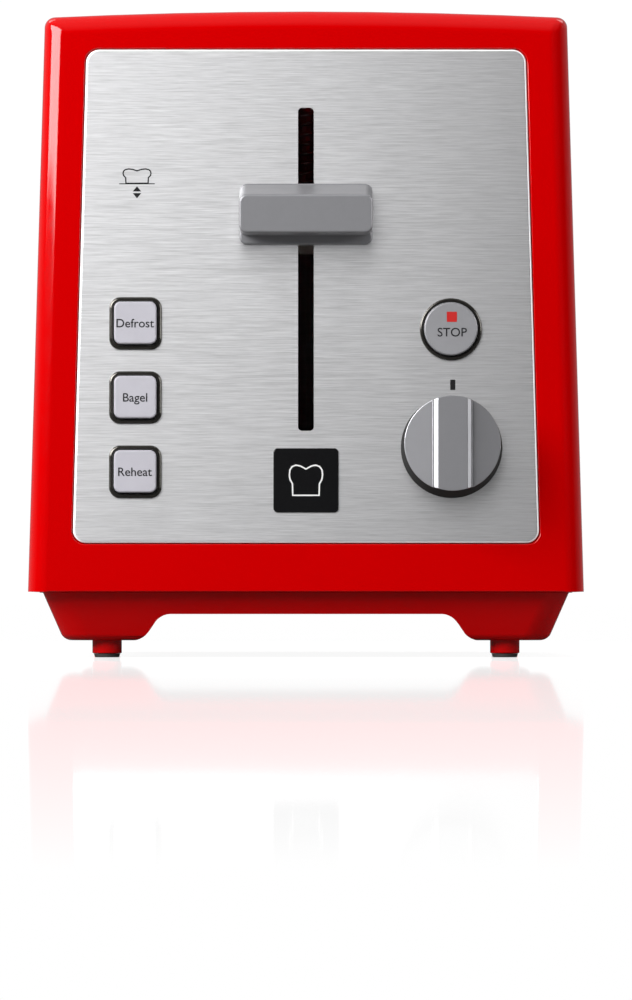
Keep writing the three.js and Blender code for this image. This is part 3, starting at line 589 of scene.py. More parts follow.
def brushed(name, base, roughness, group_name, fine, broad, contrast=1.0, anisotropy=0.5, bump=0.00001, spread=0.1,
            turn=0.25, rim=None, metallic=1.0):
    """Brushed metal with streaks that follow the stretch of its two noises, and a painted highlight along its rim if a
    rim way is given.
    """
    if name in MATERIALS:
        return MATERIALS[name]
    material, tree, shader, coordinates = new_material(name)
    lines = tree.nodes.new("ShaderNodeGroup")
    lines.node_tree = shared_group(group_name, lambda: brushed_group(group_name, fine, broad))
    lines.inputs["Contrast"].default_value = contrast
    tree.links.new(coordinates, lines.inputs["Vector"])
    streaks = lines.outputs["Streaks"]
    darker = [channel * 0.76 for channel in base]
    lighter = [min(channel * 1.2, 1) for channel in base]
    tree.links.new(two_tone(tree, streaks, darker, lighter, 0.25, 0.75), shader.inputs["Base Color"])
    tree.links.new(remap(tree, streaks, roughness + spread, roughness - spread, 0.2, 0.8), shader.inputs["Roughness"])
    shader.inputs["Anisotropic"].default_value = anisotropy
    # Painted highlight: where the surface turns from the given way, the rounded rim is paler and less metallic, which
    # stands in for light caught along the edge.
    if rim:
        edge = rim_mask(tree, rim, 0.86, 0.99)
        rim_painted_highlight = tree.nodes.new("ShaderNodeMix")
        rim_painted_highlight.data_type = "RGBA"
        rim_painted_highlight.inputs["B"].default_value = (0.84, 0.84, 0.85, 1)
        tree.links.new(edge, rim_painted_highlight.inputs["Factor"])
        tree.links.new(shader.inputs["Base Color"].links[0].from_socket, rim_painted_highlight.inputs["A"])
        tree.links.new(rim_painted_highlight.outputs["Result"], shader.inputs["Base Color"])
        tree.links.new(remap(tree, edge, 1, 0.15), shader.inputs["Metallic"])
    else:
        shader.inputs["Metallic"].default_value = metallic
    shader.inputs["Anisotropic Rotation"].default_value = turn
    if anisotropy:
        tangent = tree.nodes.new("ShaderNodeTangent")
        tangent.direction_type = "UV_MAP"
        tree.links.new(tangent.outputs["Tangent"], shader.inputs["Tangent"])
    add_bump(tree, shader, lines.outputs["Height"], 0.3, bump)
    MATERIALS[name] = material
    return material


def sheet_metal(name, base, roughness, bright=1.0):
    """Plain rolled sheet or wire: metallic, with soft clouds and faint rolling lines."""
    return brushed(name, [channel * bright for channel in base], roughness, "rolled_lines", (60, 60, 900), (25, 25, 120),
                   contrast=0.7, anisotropy=0.0, spread=0.08, bump=0.000006)


def finishes():
    """The materials for this toaster, by name."""
    paint = bpy.context.scene.toaster_colours
    return {
        "red": lambda: moulded("red_gloss", list(paint.red), 0.055, grain=0.02, spread=0.04, wave=0.000006, shade=0.985,
                               specular=0.5),
        # The control plate's rounded rim gets a painted highlight through rim=FACE_NORMAL.
        "steel": lambda: brushed("brushed_steel_across", list(paint.steel), 0.38, "brush_lines_across",
                                 (120, 120, 4200), (60, 60, 2000), contrast=1.3, rim=FACE_NORMAL),
        "deck": lambda: brushed("brushed_steel_along", list(paint.steel), 0.34, "brush_lines_along",
                                (4200, 120, 4200), (2000, 60, 2000), contrast=1.3, turn=0.0, metallic=0.8),
        "grey": lambda: moulded("satin_grey", list(paint.grey), 0.36, grain=0.4, spread=0.05, metallic=0.45,
                                wave=0.00001),
        # The browning knob's side wall is painted near-black as shade round its foot, not as a dark plastic.
        "knob": lambda: moulded("satin_grey_knob", [channel * 1.95 for channel in paint.grey], 0.3, grain=0.35,
                                spread=0.03, metallic=0.74, wave=0.000002, specular=0.0,
                                skirt_painted_shade=(0.035, 0.035, 0.035)),
        "pale": lambda: moulded("pale_button", list(paint.pale), 0.42, grain=0.3, spread=0.05, wave=0.00001),
        "bezel": lambda: moulded("dark_chrome", list(paint.bezel), 0.16, grain=0.05, spread=0.04, metallic=0.9,
                                 wave=0.000004),
        "ink": lambda: moulded("ink", list(paint.ink), 0.5, grain=0.1, wave=0.000002, specular=0.15),
        "white_ink": lambda: moulded("white_ink", [0.75, 0.75, 0.74], 0.45, grain=0.1, wave=0.000002),
        "stop_red": lambda: moulded("stop_mark_red", list(paint.stop_red), 0.4, grain=0.1, wave=0.000002),
        "rubber": lambda: moulded("foot_rubber", list(paint.rubber), 0.75, grain=0.9, spread=0.1, wave=0.00003),
        "black": lambda: moulded("gloss_black", [0.006, 0.006, 0.0065], 0.14, grain=0.03, wave=0.000006, specular=0.4),
        "black_plastic": lambda: moulded("black_plastic", [0.02, 0.02, 0.02], 0.5, grain=0.6),
        "nylon": lambda: moulded("nylon", [0.7, 0.67, 0.6], 0.5, grain=0.3),
        "laminate": lambda: moulded("board_green", [0.02, 0.11, 0.035], 0.45, grain=0.5),
        "mica": lambda: moulded("mica", [0.42, 0.33, 0.19], 0.5, grain=0.9, spread=0.15, shade=0.7, grain_scale=400.0),
        "plain_steel": lambda: sheet_metal("plain_steel", [0.5, 0.51, 0.52], 0.38),
        "reflector": lambda: sheet_metal("reflector_steel", [0.6, 0.6, 0.6], 0.26),
        "wire": lambda: sheet_metal("steel_wire", [0.46, 0.46, 0.47], 0.3),
        "heating_wire": lambda: sheet_metal("heating_ribbon", [0.2, 0.16, 0.14], 0.5),
        "copper": lambda: sheet_metal("copper_winding", [0.5, 0.2, 0.09], 0.35),
    }


def material_for(name):
    return finishes()[name]()


# ----------------------------------------------------------------------------------------------------------------
# Housing


def housing_skin(sizes):
    """The outer surface of the whole housing: leaning walls, a crowned top and rounded edges, open below."""
    height = TOP_Z - SKIRT_Z
    top = (WIDTH - 2 * height * math.tan(SIDE_LEAN), DEPTH - 2 * height * math.tan(END_LEAN))
    middle = (0, MID_Y, (TOP_Z + SKIRT_Z) / 2)
    skin = add("cube", "housing_skin", (WIDTH, DEPTH, height), size=1, location=middle)
    columns = [top[0] / 2 * share for share in (-0.75, -0.5, -0.25, 0, 0.25, 0.5, 0.75)]
    with editing(skin):
        select("FACE", lambda face: face.normal.z < -0.9)
        bpy.ops.mesh.delete(type="FACE")
        select("FACE", lambda face: face.normal.z > 0.9)
        bpy.ops.transform.resize(value=(top[0] / WIDTH, top[1] / DEPTH, 1), center_override=(0, MID_Y, TOP_Z))
        for x in columns:
            select("FACE", lambda face: face.normal.z > 0.9)
            bpy.ops.mesh.bisect(plane_co=(x, 0, 0), plane_no=(1, 0, 0))
        for x in [*columns, -top[0] / 2, top[0] / 2]:
            drop = x * x / (2 * CROWN_RADIUS)
            aside = math.copysign(drop * math.tan(SIDE_LEAN), x) if abs(x) > 0.49 * top[0] else 0
            for end in (-1, 1):
                column = at("x", x)
                select("VERT", lambda v, end=end: column(v) and v.co.z > SKIRT_Z + height / 2
                       and (v.co.y - MID_Y) * end > 0)
                bpy.ops.transform.translate(value=(aside, end * drop * math.tan(END_LEAN), -drop))
        select("EDGE", lambda edge: all(abs(v.co.x) > 0.49 * top[0] and v.co.z > MID_Y + height / 2
                                        for v in edge.verts) and abs((edge.verts[0].co - edge.verts[1].co).y) > 0.1)
        bpy.ops.transform.edge_bevelweight(value=sizes.top_corner / sizes.end_edge)
        for end in (-1, 1):
            select("EDGE", lambda edge, end=end: all((v.co.y - MID_Y) * end > 0 for v in edge.verts)
                   and not at("z", SKIRT_Z)(edge))
            bpy.ops.transform.edge_bevelweight(value=1)
    modify(skin, "BEVEL", width=sizes.end_edge, limit_method="WEIGHT", segments=8)
    return skin


def trim(obj, point, normal):
    """Keeps the side of a plane that its normal points to."""
    with editing(obj):
        bpy.ops.mesh.select_all(action="SELECT")
        bpy.ops.mesh.bisect(plane_co=point, plane_no=normal, clear_inner=True)


def seam_plane(end, distance):
    """A plane that leans with an end face, at this distance behind it, facing inwards."""
    origin = FACE_ORIGIN if end < 0 else BACK_ORIGIN
    inward = Vector((0, -end * math.cos(END_LEAN), -math.sin(END_LEAN)))
    return origin + Vector((0, -end * distance, 0)), inward


def front_face(vertex):
    return abs((vertex.co - FACE_ORIGIN).dot(FACE_NORMAL)) < TOUCH


class TOASTER_OT_housing(bpy.types.Operator):
    """Front cover, wrap cover and rear cover, cut from one skin"""

    bl_idname = "toaster.housing"
    bl_label = "Housing"

    def execute(self, context):
        sizes = context.scene.toaster_sizes
        skin = housing_skin(sizes)
        red = material_for("red")

        front = copy(skin, "front_cover_skin")
        point, inward = seam_plane(-1, CAP_DEPTH)
        trim(front, point, -inward)
        modify(front, "SOLIDIFY", thickness=sizes.plastic, offset=-1, use_even_offset=True)
        recess = panel("recess", PLATE_WIDTH[0] + 2 * GAP, PLATE_V[1] - PLATE_V[0] + 2 * GAP, sizes.plate_corner,
                       -5 * MM, 1.05 * MM, (0, sum(PLATE_V) / 2), PLATE_WIDTH[1] + 2 * GAP)
        slot = panel("slot", sizes.slot_width + 4 * MM, SLOT_V[1] - SLOT_V[0] + 4 * MM, 2 * MM, -5 * MM, 8 * MM,
                     (0, sum(SLOT_V) / 2))
        holes = [panel("hole", 15.5 * MM, 15.5 * MM, 3 * MM, -5 * MM, 8 * MM, (BUTTON_U, v)) for v in BUTTON_V.values()]
        holes.append(disc("hole", 18.2 * MM, -5 * MM, 8 * MM, STOP_PLACE, 48))
        holes.append(disc("hole", 7.6 * MM, -5 * MM, 8 * MM, KNOB_PLACE, 32))
        cut(front, *[on_face(tool) for tool in (recess, slot, *holes)])
        soften(front, 0.45 * MM, lambda edge: sharp(edge) and all(front_face(v) for v in edge.verts), 3)
        finish(front, "housing", red, ["front_cover"], name="front_cover_shell")

        wrap = copy(skin, "wrap_cover_skin")
        for end in (-1, 1):
            trim(wrap, *seam_plane(end, CAP_DEPTH + GAP))
        modify(wrap, "SOLIDIFY", thickness=sizes.sheet, offset=-1, use_even_offset=True)
        low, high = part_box("slot_plate")
        width, depth = high.x - low.x - 6 * MM, high.y - low.y - 6 * MM
        opening = seen_from_above_panel("deck_opening", width, depth, 4 * MM, TOP_Z - 0.02, TOP_Z + 0.02)
        cut(wrap, opening)
        finish(wrap, "housing", red, ["wrap_cover"], name="wrap_cover_shell")

        rear = copy(skin, "rear_cover_skin")
        point, inward = seam_plane(1, CAP_DEPTH)
        trim(rear, point, -inward)
        modify(rear, "SOLIDIFY", thickness=sizes.plastic, offset=-1, use_even_offset=True)
        mouth = block("mouth", (-61 * MM, MID_Y + 0.1, SKIRT_Z - 0.005), (61 * MM, MID_Y + 0.15, 31.5 * MM))
        low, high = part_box("cord_gland")
        hole = on_back(disc("cord_hole", 12.6 * MM, -8 * MM, 5 * MM, ((low.x + high.x) / 2, 26 * MM), 48))
        cut(rear, mouth, hole)
        finish(rear, "housing", red, ["rear_cover"], name="rear_cover_shell")

        data = skin.data
        bpy.data.objects.remove(skin)
        bpy.data.meshes.remove(data)
        return {"FINISHED"}


def seen_from_above_panel(name, width, depth, radius, low, high, x=0.0):
    """A plate seen from above, with rounded corners, from one height to another, over the middle of the toaster."""
    w, d = width / 2, depth / 2
    outline = [(x - w, MID_Y - d), (x + w, MID_Y - d), (x + w, MID_Y + d), (x - w, MID_Y + d)]
    obj = prism(name, outline, high - low, radius, 8)
    obj.location.z = low
    settle(obj)
    return obj


class TOASTER_OT_slot_plate(bpy.types.Operator):
    """Steel deck with a turned-down lip round each bread slot"""

    bl_idname = "toaster.slot_plate"
    bl_label = "Slot plate"

    def execute(self, context):
        sizes = context.scene.toaster_sizes
        low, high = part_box("slot_plate")
        thick, lip = 0.8 * MM, 5 * MM
        top = high.z
        deck = seen_from_above_panel("slot_deck", high.x - low.x, high.y - low.y, 7 * MM, top - thick, top)
        x = 31.5 * MM
        width, depth = sizes.bread_slot_width, sizes.bread_slot_length
        for side in (-1, 1):
            fuse(deck, seen_from_above_panel("lip", width + 2 * thick, depth + 2 * thick, 6 * MM + thick, top - lip,
                                             top, side * x))
        for side in (-1, 1):
            cut(deck, seen_from_above_panel("slot", width, depth, 6 * MM, top - 0.02, top + 0.02, side * x))
        soften(deck, 0.7 * MM, rim("z", top), 4)
        with editing(deck):
            for column in (-50, -40, -24, -12, 0, 12, 24, 40, 50):
                bpy.ops.mesh.select_all(action="SELECT")
                bpy.ops.mesh.bisect(plane_co=(column * MM, 0, 0), plane_no=(1, 0, 0))
            places = sorted({round(vertex.co.x, 6) for vertex in bmesh.from_edit_mesh(deck.data).verts})
            for place in places:
                select("VERT", lambda v, place=place: round(v.co.x, 6) == place)
                bpy.ops.transform.translate(value=(0, 0, -place * place / (2 * CROWN_RADIUS)))
        unwrap(deck)
        finish(deck, "housing", material_for("deck"), ["slot_plate"])
        return {"FINISHED"}


# ----------------------------------------------------------------------------------------------------------------
# Front


def label(name, words, height, centre, near):
    """Words as a thin print, centred on a place on the front face."""
    bpy.ops.object.select_all(action="DESELECT")
    bpy.ops.object.text_add()
    made = bpy.context.object
    made.name = name
    text = made.data
    text.body = words
    text.align_x = "CENTER"
    text.size = 1
    text.offset = 0.006
    text.resolution_u = 6
    bpy.ops.object.convert(target="MESH")
    made = bpy.context.object
    lows = [min(v.co[i] for v in made.data.vertices) for i in (0, 1)]
    highs = [max(v.co[i] for v in made.data.vertices) for i in (0, 1)]
    capital = 0.729  # height of a capital letter of the built-in font at size 1
    scale = height / capital
    made.scale = (scale, scale, scale)
    settle(made)
    shift = ((lows[0] + highs[0]) / 2 * scale, capital / 2 * scale)
    made.location = (centre[0] - shift[0], centre[1] - shift[1], 0)
    settle(made)
    with editing(made):
        bpy.ops.mesh.select_all(action="SELECT")
        bpy.ops.mesh.remove_doubles(threshold=1e-6)
        bpy.ops.mesh.extrude_region_move(TRANSFORM_OT_translate={"value": (0, 0, PRINT)})
        bpy.ops.mesh.select_all(action="SELECT")
        bpy.ops.mesh.normals_make_consistent(inside=False)
    return on_face(seen_from_front(made, near))


def line_drawing(name, outline, thickness, near, closed=True):
    """A polygon drawn as a line of even thickness on the front face."""
    obj = prism(name, outline, PRINT)
    if closed:
        inner = prism("inner", outline, 0.2 * MM)
        inner.location.z = -0.05 * MM
        settle(inner)
        with editing(inner):
            select("FACE", lambda face: abs(face.normal.z) < 0.5)
            bpy.ops.transform.shrink_fatten(value=-thickness, use_even_offset=True)
        cut(obj, inner)
    return on_face(seen_from_front(obj, near))


def toast_outline(width, height, centre):
    """A slice of bread in outline: straight foot, waisted sides and a domed crust."""
    shape = [
        (-0.40, -0.5), (0.40, -0.5), (0.41, -0.12), (0.48, 0.02), (0.50, 0.18), (0.48, 0.34), (0.41, 0.45), (0.29, 0.5),
        (0.15, 0.47), (0, 0.38), (-0.15, 0.47), (-0.29, 0.5), (-0.41, 0.45), (-0.48, 0.34), (-0.50, 0.18),
        (-0.48, 0.02), (-0.41, -0.12),
    ]
    return [(centre[0] + x * width, centre[1] + y * height) for x, y in shape]


class TOASTER_OT_control_plate(bpy.types.Operator):
    """Brushed steel control plate with the printed bread sign and index mark"""

    bl_idname = "toaster.control_plate"
    bl_label = "Control plate"

    def execute(self, context):
        sizes = context.scene.toaster_sizes
        back = sizes.plate_thickness - PLATE_PROUD
        plate = panel("control_panel", PLATE_WIDTH[0], PLATE_V[1] - PLATE_V[0], sizes.plate_corner, -PLATE_PROUD, back,
                      (0, sum(PLATE_V) / 2), PLATE_WIDTH[1], segments=10)
        soften(plate, sizes.plate_rim, rim("y", -PLATE_PROUD), 5)
        tools = [panel("slot", sizes.slot_width, SLOT_V[1] - SLOT_V[0], 1.2 * MM, -5 * MM, 5 * MM,
                       (0, sum(SLOT_V) / 2))]
        tools += [panel("hole", 15.2 * MM, 15.2 * MM, 3 * MM, -5 * MM, 5 * MM, (BUTTON_U, v))
                  for v in BUTTON_V.values()]
        tools.append(disc("hole", 17.9 * MM, -5 * MM, 5 * MM, STOP_PLACE, 64))
        tools.append(disc("hole", 7.6 * MM, -5 * MM, 5 * MM, KNOB_PLACE, 32))
        cut(plate, *tools)
        soften(plate, 0.25 * MM, rim("y", -PLATE_PROUD), 3)
        on_face(plate)
        unwrap(plate)
        finish(plate, "housing", material_for("steel"), ["control_plate"])

        print_depth = -PLATE_PROUD
        sign = (-51.4 * MM, 126.6 * MM)
        slice_line = line_drawing("bread_sign", toast_outline(8.9 * MM, 4.8 * MM, sign), 0.4 * MM, print_depth)
        u, v = sign
        base = [(u - 5.4 * MM, v - 2.5 * MM), (u + 5.4 * MM, v - 2.5 * MM), (u + 5.4 * MM, v - 2.2 * MM),
                (u - 5.4 * MM, v - 2.2 * MM)]
        up = [(u - 1.3 * MM, v - 4.7 * MM), (u + 1.3 * MM, v - 4.7 * MM), (u, v - 3.1 * MM)]
        down = [(u + 1.3 * MM, v - 5.2 * MM), (u - 1.3 * MM, v - 5.2 * MM), (u, v - 6.8 * MM)]
        marks = [line_drawing("mark", shape, 0, print_depth, closed=False) for shape in (base, up, down)]
        finish(gather("bread_lift_sign", [slice_line, *marks]), "housing", material_for("ink"))

        index = panel("index_mark", 1.55 * MM, 3.15 * MM, 0.2 * MM, print_depth - PRINT, print_depth,
                      (44.6 * MM, 62.9 * MM), segments=3)
        finish(on_face(index), "housing", material_for("ink"))
        return {"FINISHED"}


class TOASTER_OT_badge(bpy.types.Operator):
    """Plain black badge with a slice of toast in outline"""

    bl_idname = "toaster.badge"
    bl_label = "Badge"

    def execute(self, context):
        front = -PLATE_PROUD - 0.75 * MM
        plate = panel("badge_plate", 19.8 * MM, 19.5 * MM, 1.3 * MM, front, -PLATE_PROUD - 0.02 * MM, (0, BADGE_V))
        soften(plate, 0.3 * MM, rim("y", front), 3)
        finish(on_face(plate), "housing", material_for("black"), ["badge"])
        outline = toast_outline(10.5 * MM, 9.6 * MM, (0, BADGE_V))
        drawing = line_drawing("badge_toast", outline, 0.42 * MM, front)
        finish(drawing, "housing", material_for("white_ink"))
        return {"FINISHED"}


def square_bezel(name, sizes, v):
    """A rounded frame round a square button, with a raised outer edge."""
    front = -PLATE_PROUD - 1.3 * MM
    ring = panel(name, sizes.bezel, sizes.bezel, 3.4 * MM, front, -PLATE_PROUD - 0.05 * MM, (BUTTON_U, v), segments=10)
    soften(ring, 0.8 * MM, rim("y", front), 5)
    gap = sizes.button + 2 * GAP
    cut(ring, panel("opening", gap, gap, 2.3 * MM, -0.01, 0.01, (BUTTON_U, v)))
    soften(ring, 0.25 * MM, rim("y", front), 3)
    return ring


class TOASTER_OT_buttons(bpy.types.Operator):
    """Three square push buttons with their bezels and labels"""

    bl_idname = "toaster.buttons"
    bl_label = "Square buttons"

    def execute(self, context):
        sizes = context.scene.toaster_sizes
        front = -3.4 * MM
        for name, v in BUTTON_V.items():
            ring = on_face(square_bezel(f"{name}_bezel_ring", sizes, v))
            finish(ring, "housing", material_for("bezel"), [f"{name}_bezel"])
            cap = panel(f"{name}_cap", sizes.button, sizes.button, 2 * MM, front, 3.5 * MM, (BUTTON_U, v))
            soften(cap, 0.55 * MM, rim("y", front), 4)
            fuse(cap, disc("stem", 4.4 * MM, 3 * MM, 8 * MM, (BUTTON_U, v), 24))
            finish(on_face(cap), f"{name}_button", material_for("pale"), [f"{name}_button"])
            words = label(f"{name}_label", name.capitalize(), sizes.label_height, (BUTTON_U, v - 0.1 * MM),
                          front)
            finish(words, f"{name}_button", material_for("ink"))
        return {"FINISHED"}


class TOASTER_OT_stop_button(bpy.types.Operator):
    """Round stop button with its bezel, word and red mark"""

    bl_idname = "toaster.stop_button"
    bl_label = "Stop button"

    def execute(self, context):
        sizes = context.scene.toaster_sizes
        u, v = STOP_PLACE
        front = -PLATE_PROUD - 1.3 * MM
        ring = disc("stop_bezel_ring", sizes.stop_bezel, front, -PLATE_PROUD - 0.05 * MM, STOP_PLACE)
        soften(ring, 0.6 * MM, rim("y", front), 5)
        cut(ring, disc("opening", sizes.stop_cap + 2 * GAP, -0.01, 0.01, STOP_PLACE))
        soften(ring, 0.2 * MM, rim("y", front), 3)
        finish(on_face(ring), "housing", material_for("bezel"), ["stop_bezel"])
        face = -2.9 * MM
        cap = disc("stop_cap", sizes.stop_cap, face, 3.5 * MM, STOP_PLACE)
        soften(cap, 0.5 * MM, rim("y", face), 4)
        fuse(cap, disc("stem", 4.4 * MM, 3 * MM, 8 * MM, STOP_PLACE, 24))
        finish(on_face(cap), "stop_button", material_for("grey"), ["stop_button"])
        words = label("stop_label", "STOP", 2.75 * MM, (u + 0.4 * MM, v - 1.0 * MM), face)
        finish(words, "stop_button", material_for("ink"))
        mark = panel("stop_mark", 3.1 * MM, 3.1 * MM, 0.15 * MM, face - PRINT, face, (u + 0.3 * MM, v + 3.6 * MM),
                     segments=3)
        finish(on_face(mark), "stop_button", material_for("stop_red"))
        return {"FINISHED"}


class TOASTER_OT_browning_knob(bpy.types.Operator):
    """Browning knob: a tapered disc whose flanks fall away from a grip across its middle"""

    bl_idname = "toaster.browning_knob"
    bl_label = "Browning knob"

    def execute(self, context):
        sizes = context.scene.toaster_sizes
        u, v_middle = KNOB_PLACE
        height, drop = 17.8 * MM, 2.1 * MM
        back = -PLATE_PROUD - 0.6 * MM
        top = back - height
        knob = add("cone", "browning_dial", vertices=128, radius1=sizes.knob_base / 2, radius2=sizes.knob_face / 2,
                   depth=height, rotation=(math.pi / 2, 0, 0), location=(u, (back + top) / 2, v_middle))
        half, ridge = sizes.knob_grip / 2, 1.25 * MM
        for side in (-1, 1):
            flank = [(half - ridge, top - 2 * MM), (half - ridge, top),
                     (half, top + ridge * math.tan(math.radians(40))), (half + 0.2 * MM, top + drop),
                     (20 * MM, top + drop + 1.3 * MM), (20 * MM, top - 2 * MM)]
            tool = prism("flank", [(u + side * x, y) for x, y in flank], 0.05)
            tool.location.z = v_middle - 0.025
            settle(tool)
            cut(knob, tool)
        soften(knob, 0.45 * MM, lambda edge: sharp(edge) and max(v.co.y for v in edge.verts) < back - MM
               and all(math.hypot(v.co.x - u, v.co.z - v_middle) > sizes.knob_face / 2 - 0.3 * MM
                       for v in edge.verts), 3)
        cut(knob, disc("bore", 6.6 * MM, back - 12 * MM, back + MM, KNOB_PLACE, 32))
        finish(on_face(knob), "browning_knob", material_for("knob"), ["browning_knob"])
        return {"FINISHED"}


class TOASTER_OT_lever(bpy.types.Operator):
    """Lever knob: a flange near the plate and a finger block whose top slopes to the front"""

    bl_idname = "toaster.lever"
    bl_label = "Lever"

    def execute(self, context):
        low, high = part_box("lever_knob")
        low.z += 0.9 * MM
        high.z += 0.5 * MM
        middle = (low.z + high.z) / 2
        width = high.x - low.x
        flange_front = high.y - 4.5 * MM
        flange = panel("lever_flange", width, high.z - low.z, 2.4 * MM, flange_front, high.y, (0, middle))
        soften(flange, 0.7 * MM, rim("y", flange_front), 4)
        profile = [(low.y, low.z + 2.8 * MM), (flange_front + MM, low.z + 2.8 * MM),
                   (flange_front + MM, high.z - 0.2 * MM), (low.y, high.z - 4.1 * MM)]
        finger = prism("lever_finger", profile, width)
        seen_from_side(finger, low.x)
        soften(finger, 2.3 * MM, lambda edge: abs(edge.verts[0].co.y - edge.verts[1].co.y) > MM, 6)
        soften(finger, 0.7 * MM, rim("y", low.y), 4)
        fuse(flange, finger)
        socket = block("socket", (-1.9 * MM, low.y + 4 * MM, middle - 5.3 * MM), (1.9 * MM, 0, middle + 5.3 * MM))
        cut(flange, socket)
        finish(flange, "carriage", material_for("grey"), ["lever_knob"], name="lever_grip")
        return {"FINISHED"}


# ----------------------------------------------------------------------------------------------------------------
# Base


class TOASTER_OT_base(bpy.types.Operator):
    """Base with four legs and an arch on every side, foot posts, rubber pads and the crumb tray's way in"""

    bl_idname = "toaster.base"
    bl_label = "Base and feet"

    def execute(self, context):
        top, bottom = SKIRT_Z - GAP, 5.2 * MM
        half_top, half_bottom = (80.2 * MM, 126.2 * MM), (74 * MM, 120 * MM)
        base = block("base_shell", (-half_top[0], MID_Y - half_top[1], bottom),
                     (half_top[0], MID_Y + half_top[1], top))
        shrink = [small / large for small, large in zip(half_bottom, half_top)]
        with editing(base):
            select("FACE", lambda face: face.normal.z < -0.9)
            bpy.ops.transform.resize(value=(*shrink, 1), center_override=(0, MID_Y, bottom))
        soften(base, 8 * MM, lambda edge: abs(edge.verts[0].co.z - edge.verts[1].co.z) > 0.01, 8)
        soften(base, 2.2 * MM, rim("z", bottom), 5)
        with editing(base):
            select("FACE", lambda face: face.normal.z > 0.9)
            bpy.ops.mesh.extrude_region_move(TRANSFORM_OT_translate={"value": (0, 0, 0)})
            bpy.ops.transform.resize(value=(81.2 / 80.2, 127.4 / 126.2, 1), center_override=(0, MID_Y, top))
            bpy.ops.mesh.extrude_region_move(TRANSFORM_OT_translate={"value": (0, 0, 8 * MM)})
            bpy.ops.mesh.inset(thickness=2.2 * MM)
            bpy.ops.mesh.extrude_region_move(TRANSFORM_OT_translate={"value": (0, 0, -12.6 * MM)})
            bpy.ops.transform.resize(value=(75.6 / 79, 121.6 / 125.2, 1), center_override=(0, MID_Y, 15.1 * MM))
        floor = 12.8 * MM
        for name, foot, crown in (("arch_across", 47.6 * MM, 42.2 * MM), ("arch_along", 87 * MM, 82.5 * MM)):
            low, level, wide = -6 * MM, bottom - 0.05 * MM, foot + 12 * MM
            shape = [(-wide, low), (wide, low), (wide, level), (foot, level), (crown, floor + 0.4 * MM),
                     (-crown, floor + 0.4 * MM), (-foot, level), (-wide, level)]
            tool = prism(name, shape, 0.4, 2.6 * MM, 5)
            if name == "arch_across":
                seen_from_front(tool, MID_Y + 0.2)
                with editing(tool):
                    select("VERT", lambda vertex: vertex.co.y > MID_Y)
                    bpy.ops.transform.resize(value=(1.24, 1, 1), center_override=(0, MID_Y, 0))
            else:
                tool.location.x = MID_Y
                settle(tool)
                seen_from_side(tool, -0.2)
            cut(base, tool)
        cut(base, block("mouth", (-61.5 * MM, MID_Y + 0.11, SKIRT_Z + 0.7 * MM), (61.5 * MM, MID_Y + 0.14, 0.04)))
        soften(base, 0.5 * MM, lambda edge: sharp(edge) and all(bottom + MM < v.co.z < floor + MM
                                                                for v in edge.verts), 3)
        for end in ("front", "rear"):
            for side in ("left", "right"):
                self.screw(base, f"base_screw_{end}_{side}", floor)
        finish(base, "housing", material_for("red"), ["base_tray"])

        for end in ("front", "rear"):
            for side in ("left", "right"):
                node = f"foot_pad_{end}_{side}"
                low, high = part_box(node)
                x, y = (low.x + high.x) / 2, (low.y + high.y) / 2
                x -= math.copysign(0.9 * MM if end == "front" else 1.6 * MM, x)
                post = add("cylinder", f"foot_post_{end}_{side}", vertices=48, radius=4.5 * MM, depth=5 * MM,
                           location=(x, y, 1.2 * MM + 2.5 * MM))
                soften(post, 0.35 * MM, rim("z", 1.2 * MM), 3)
                finish(post, "housing", material_for("red"))
                pad = add("cone", f"rubber_{end}_{side}", vertices=48, radius1=3.7 * MM, radius2=4.05 * MM,
                          depth=1.15 * MM, location=(x, y, 0.575 * MM))
                soften(pad, 0.25 * MM, rim("z", 0), 3)
                finish(pad, "housing", material_for("rubber"), [node])
        return {"FINISHED"}


    def screw(self, base, node, floor):
        """A countersunk screw with a cross recess, its head just above the underside, and its hole in the base."""
        low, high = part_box(node)
        x, y = (low.x + high.x) / 2, (low.y + high.y) / 2
        sink = 0.4 * MM
        cut(base, add("cone", "countersink", vertices=32, radius1=3.5 * MM, radius2=1.9 * MM, depth=2.6 * MM,
                      location=(x, y, floor + 1.1 * MM)))
        head = add("cone", f"{node}_head", vertices=32, radius1=2.9 * MM, radius2=1.5 * MM, depth=1.6 * MM,
                   location=(x, y, floor + sink + 0.8 * MM))
        fuse(head, add("cylinder", "shank", vertices=24, radius=1.5 * MM, depth=high.z - floor - sink - MM,
                       location=(x, y, (high.z + floor + sink + MM) / 2)))
        for turn in (0, math.pi / 2):
            cut(head, add("cube", "recess", (3.2 * MM, 0.8 * MM, 1.6 * MM), size=1, rotation=(0, 0, turn),
                          location=(x, y, floor + sink)))
        finish(head, "housing", material_for("plain_steel"), [node])


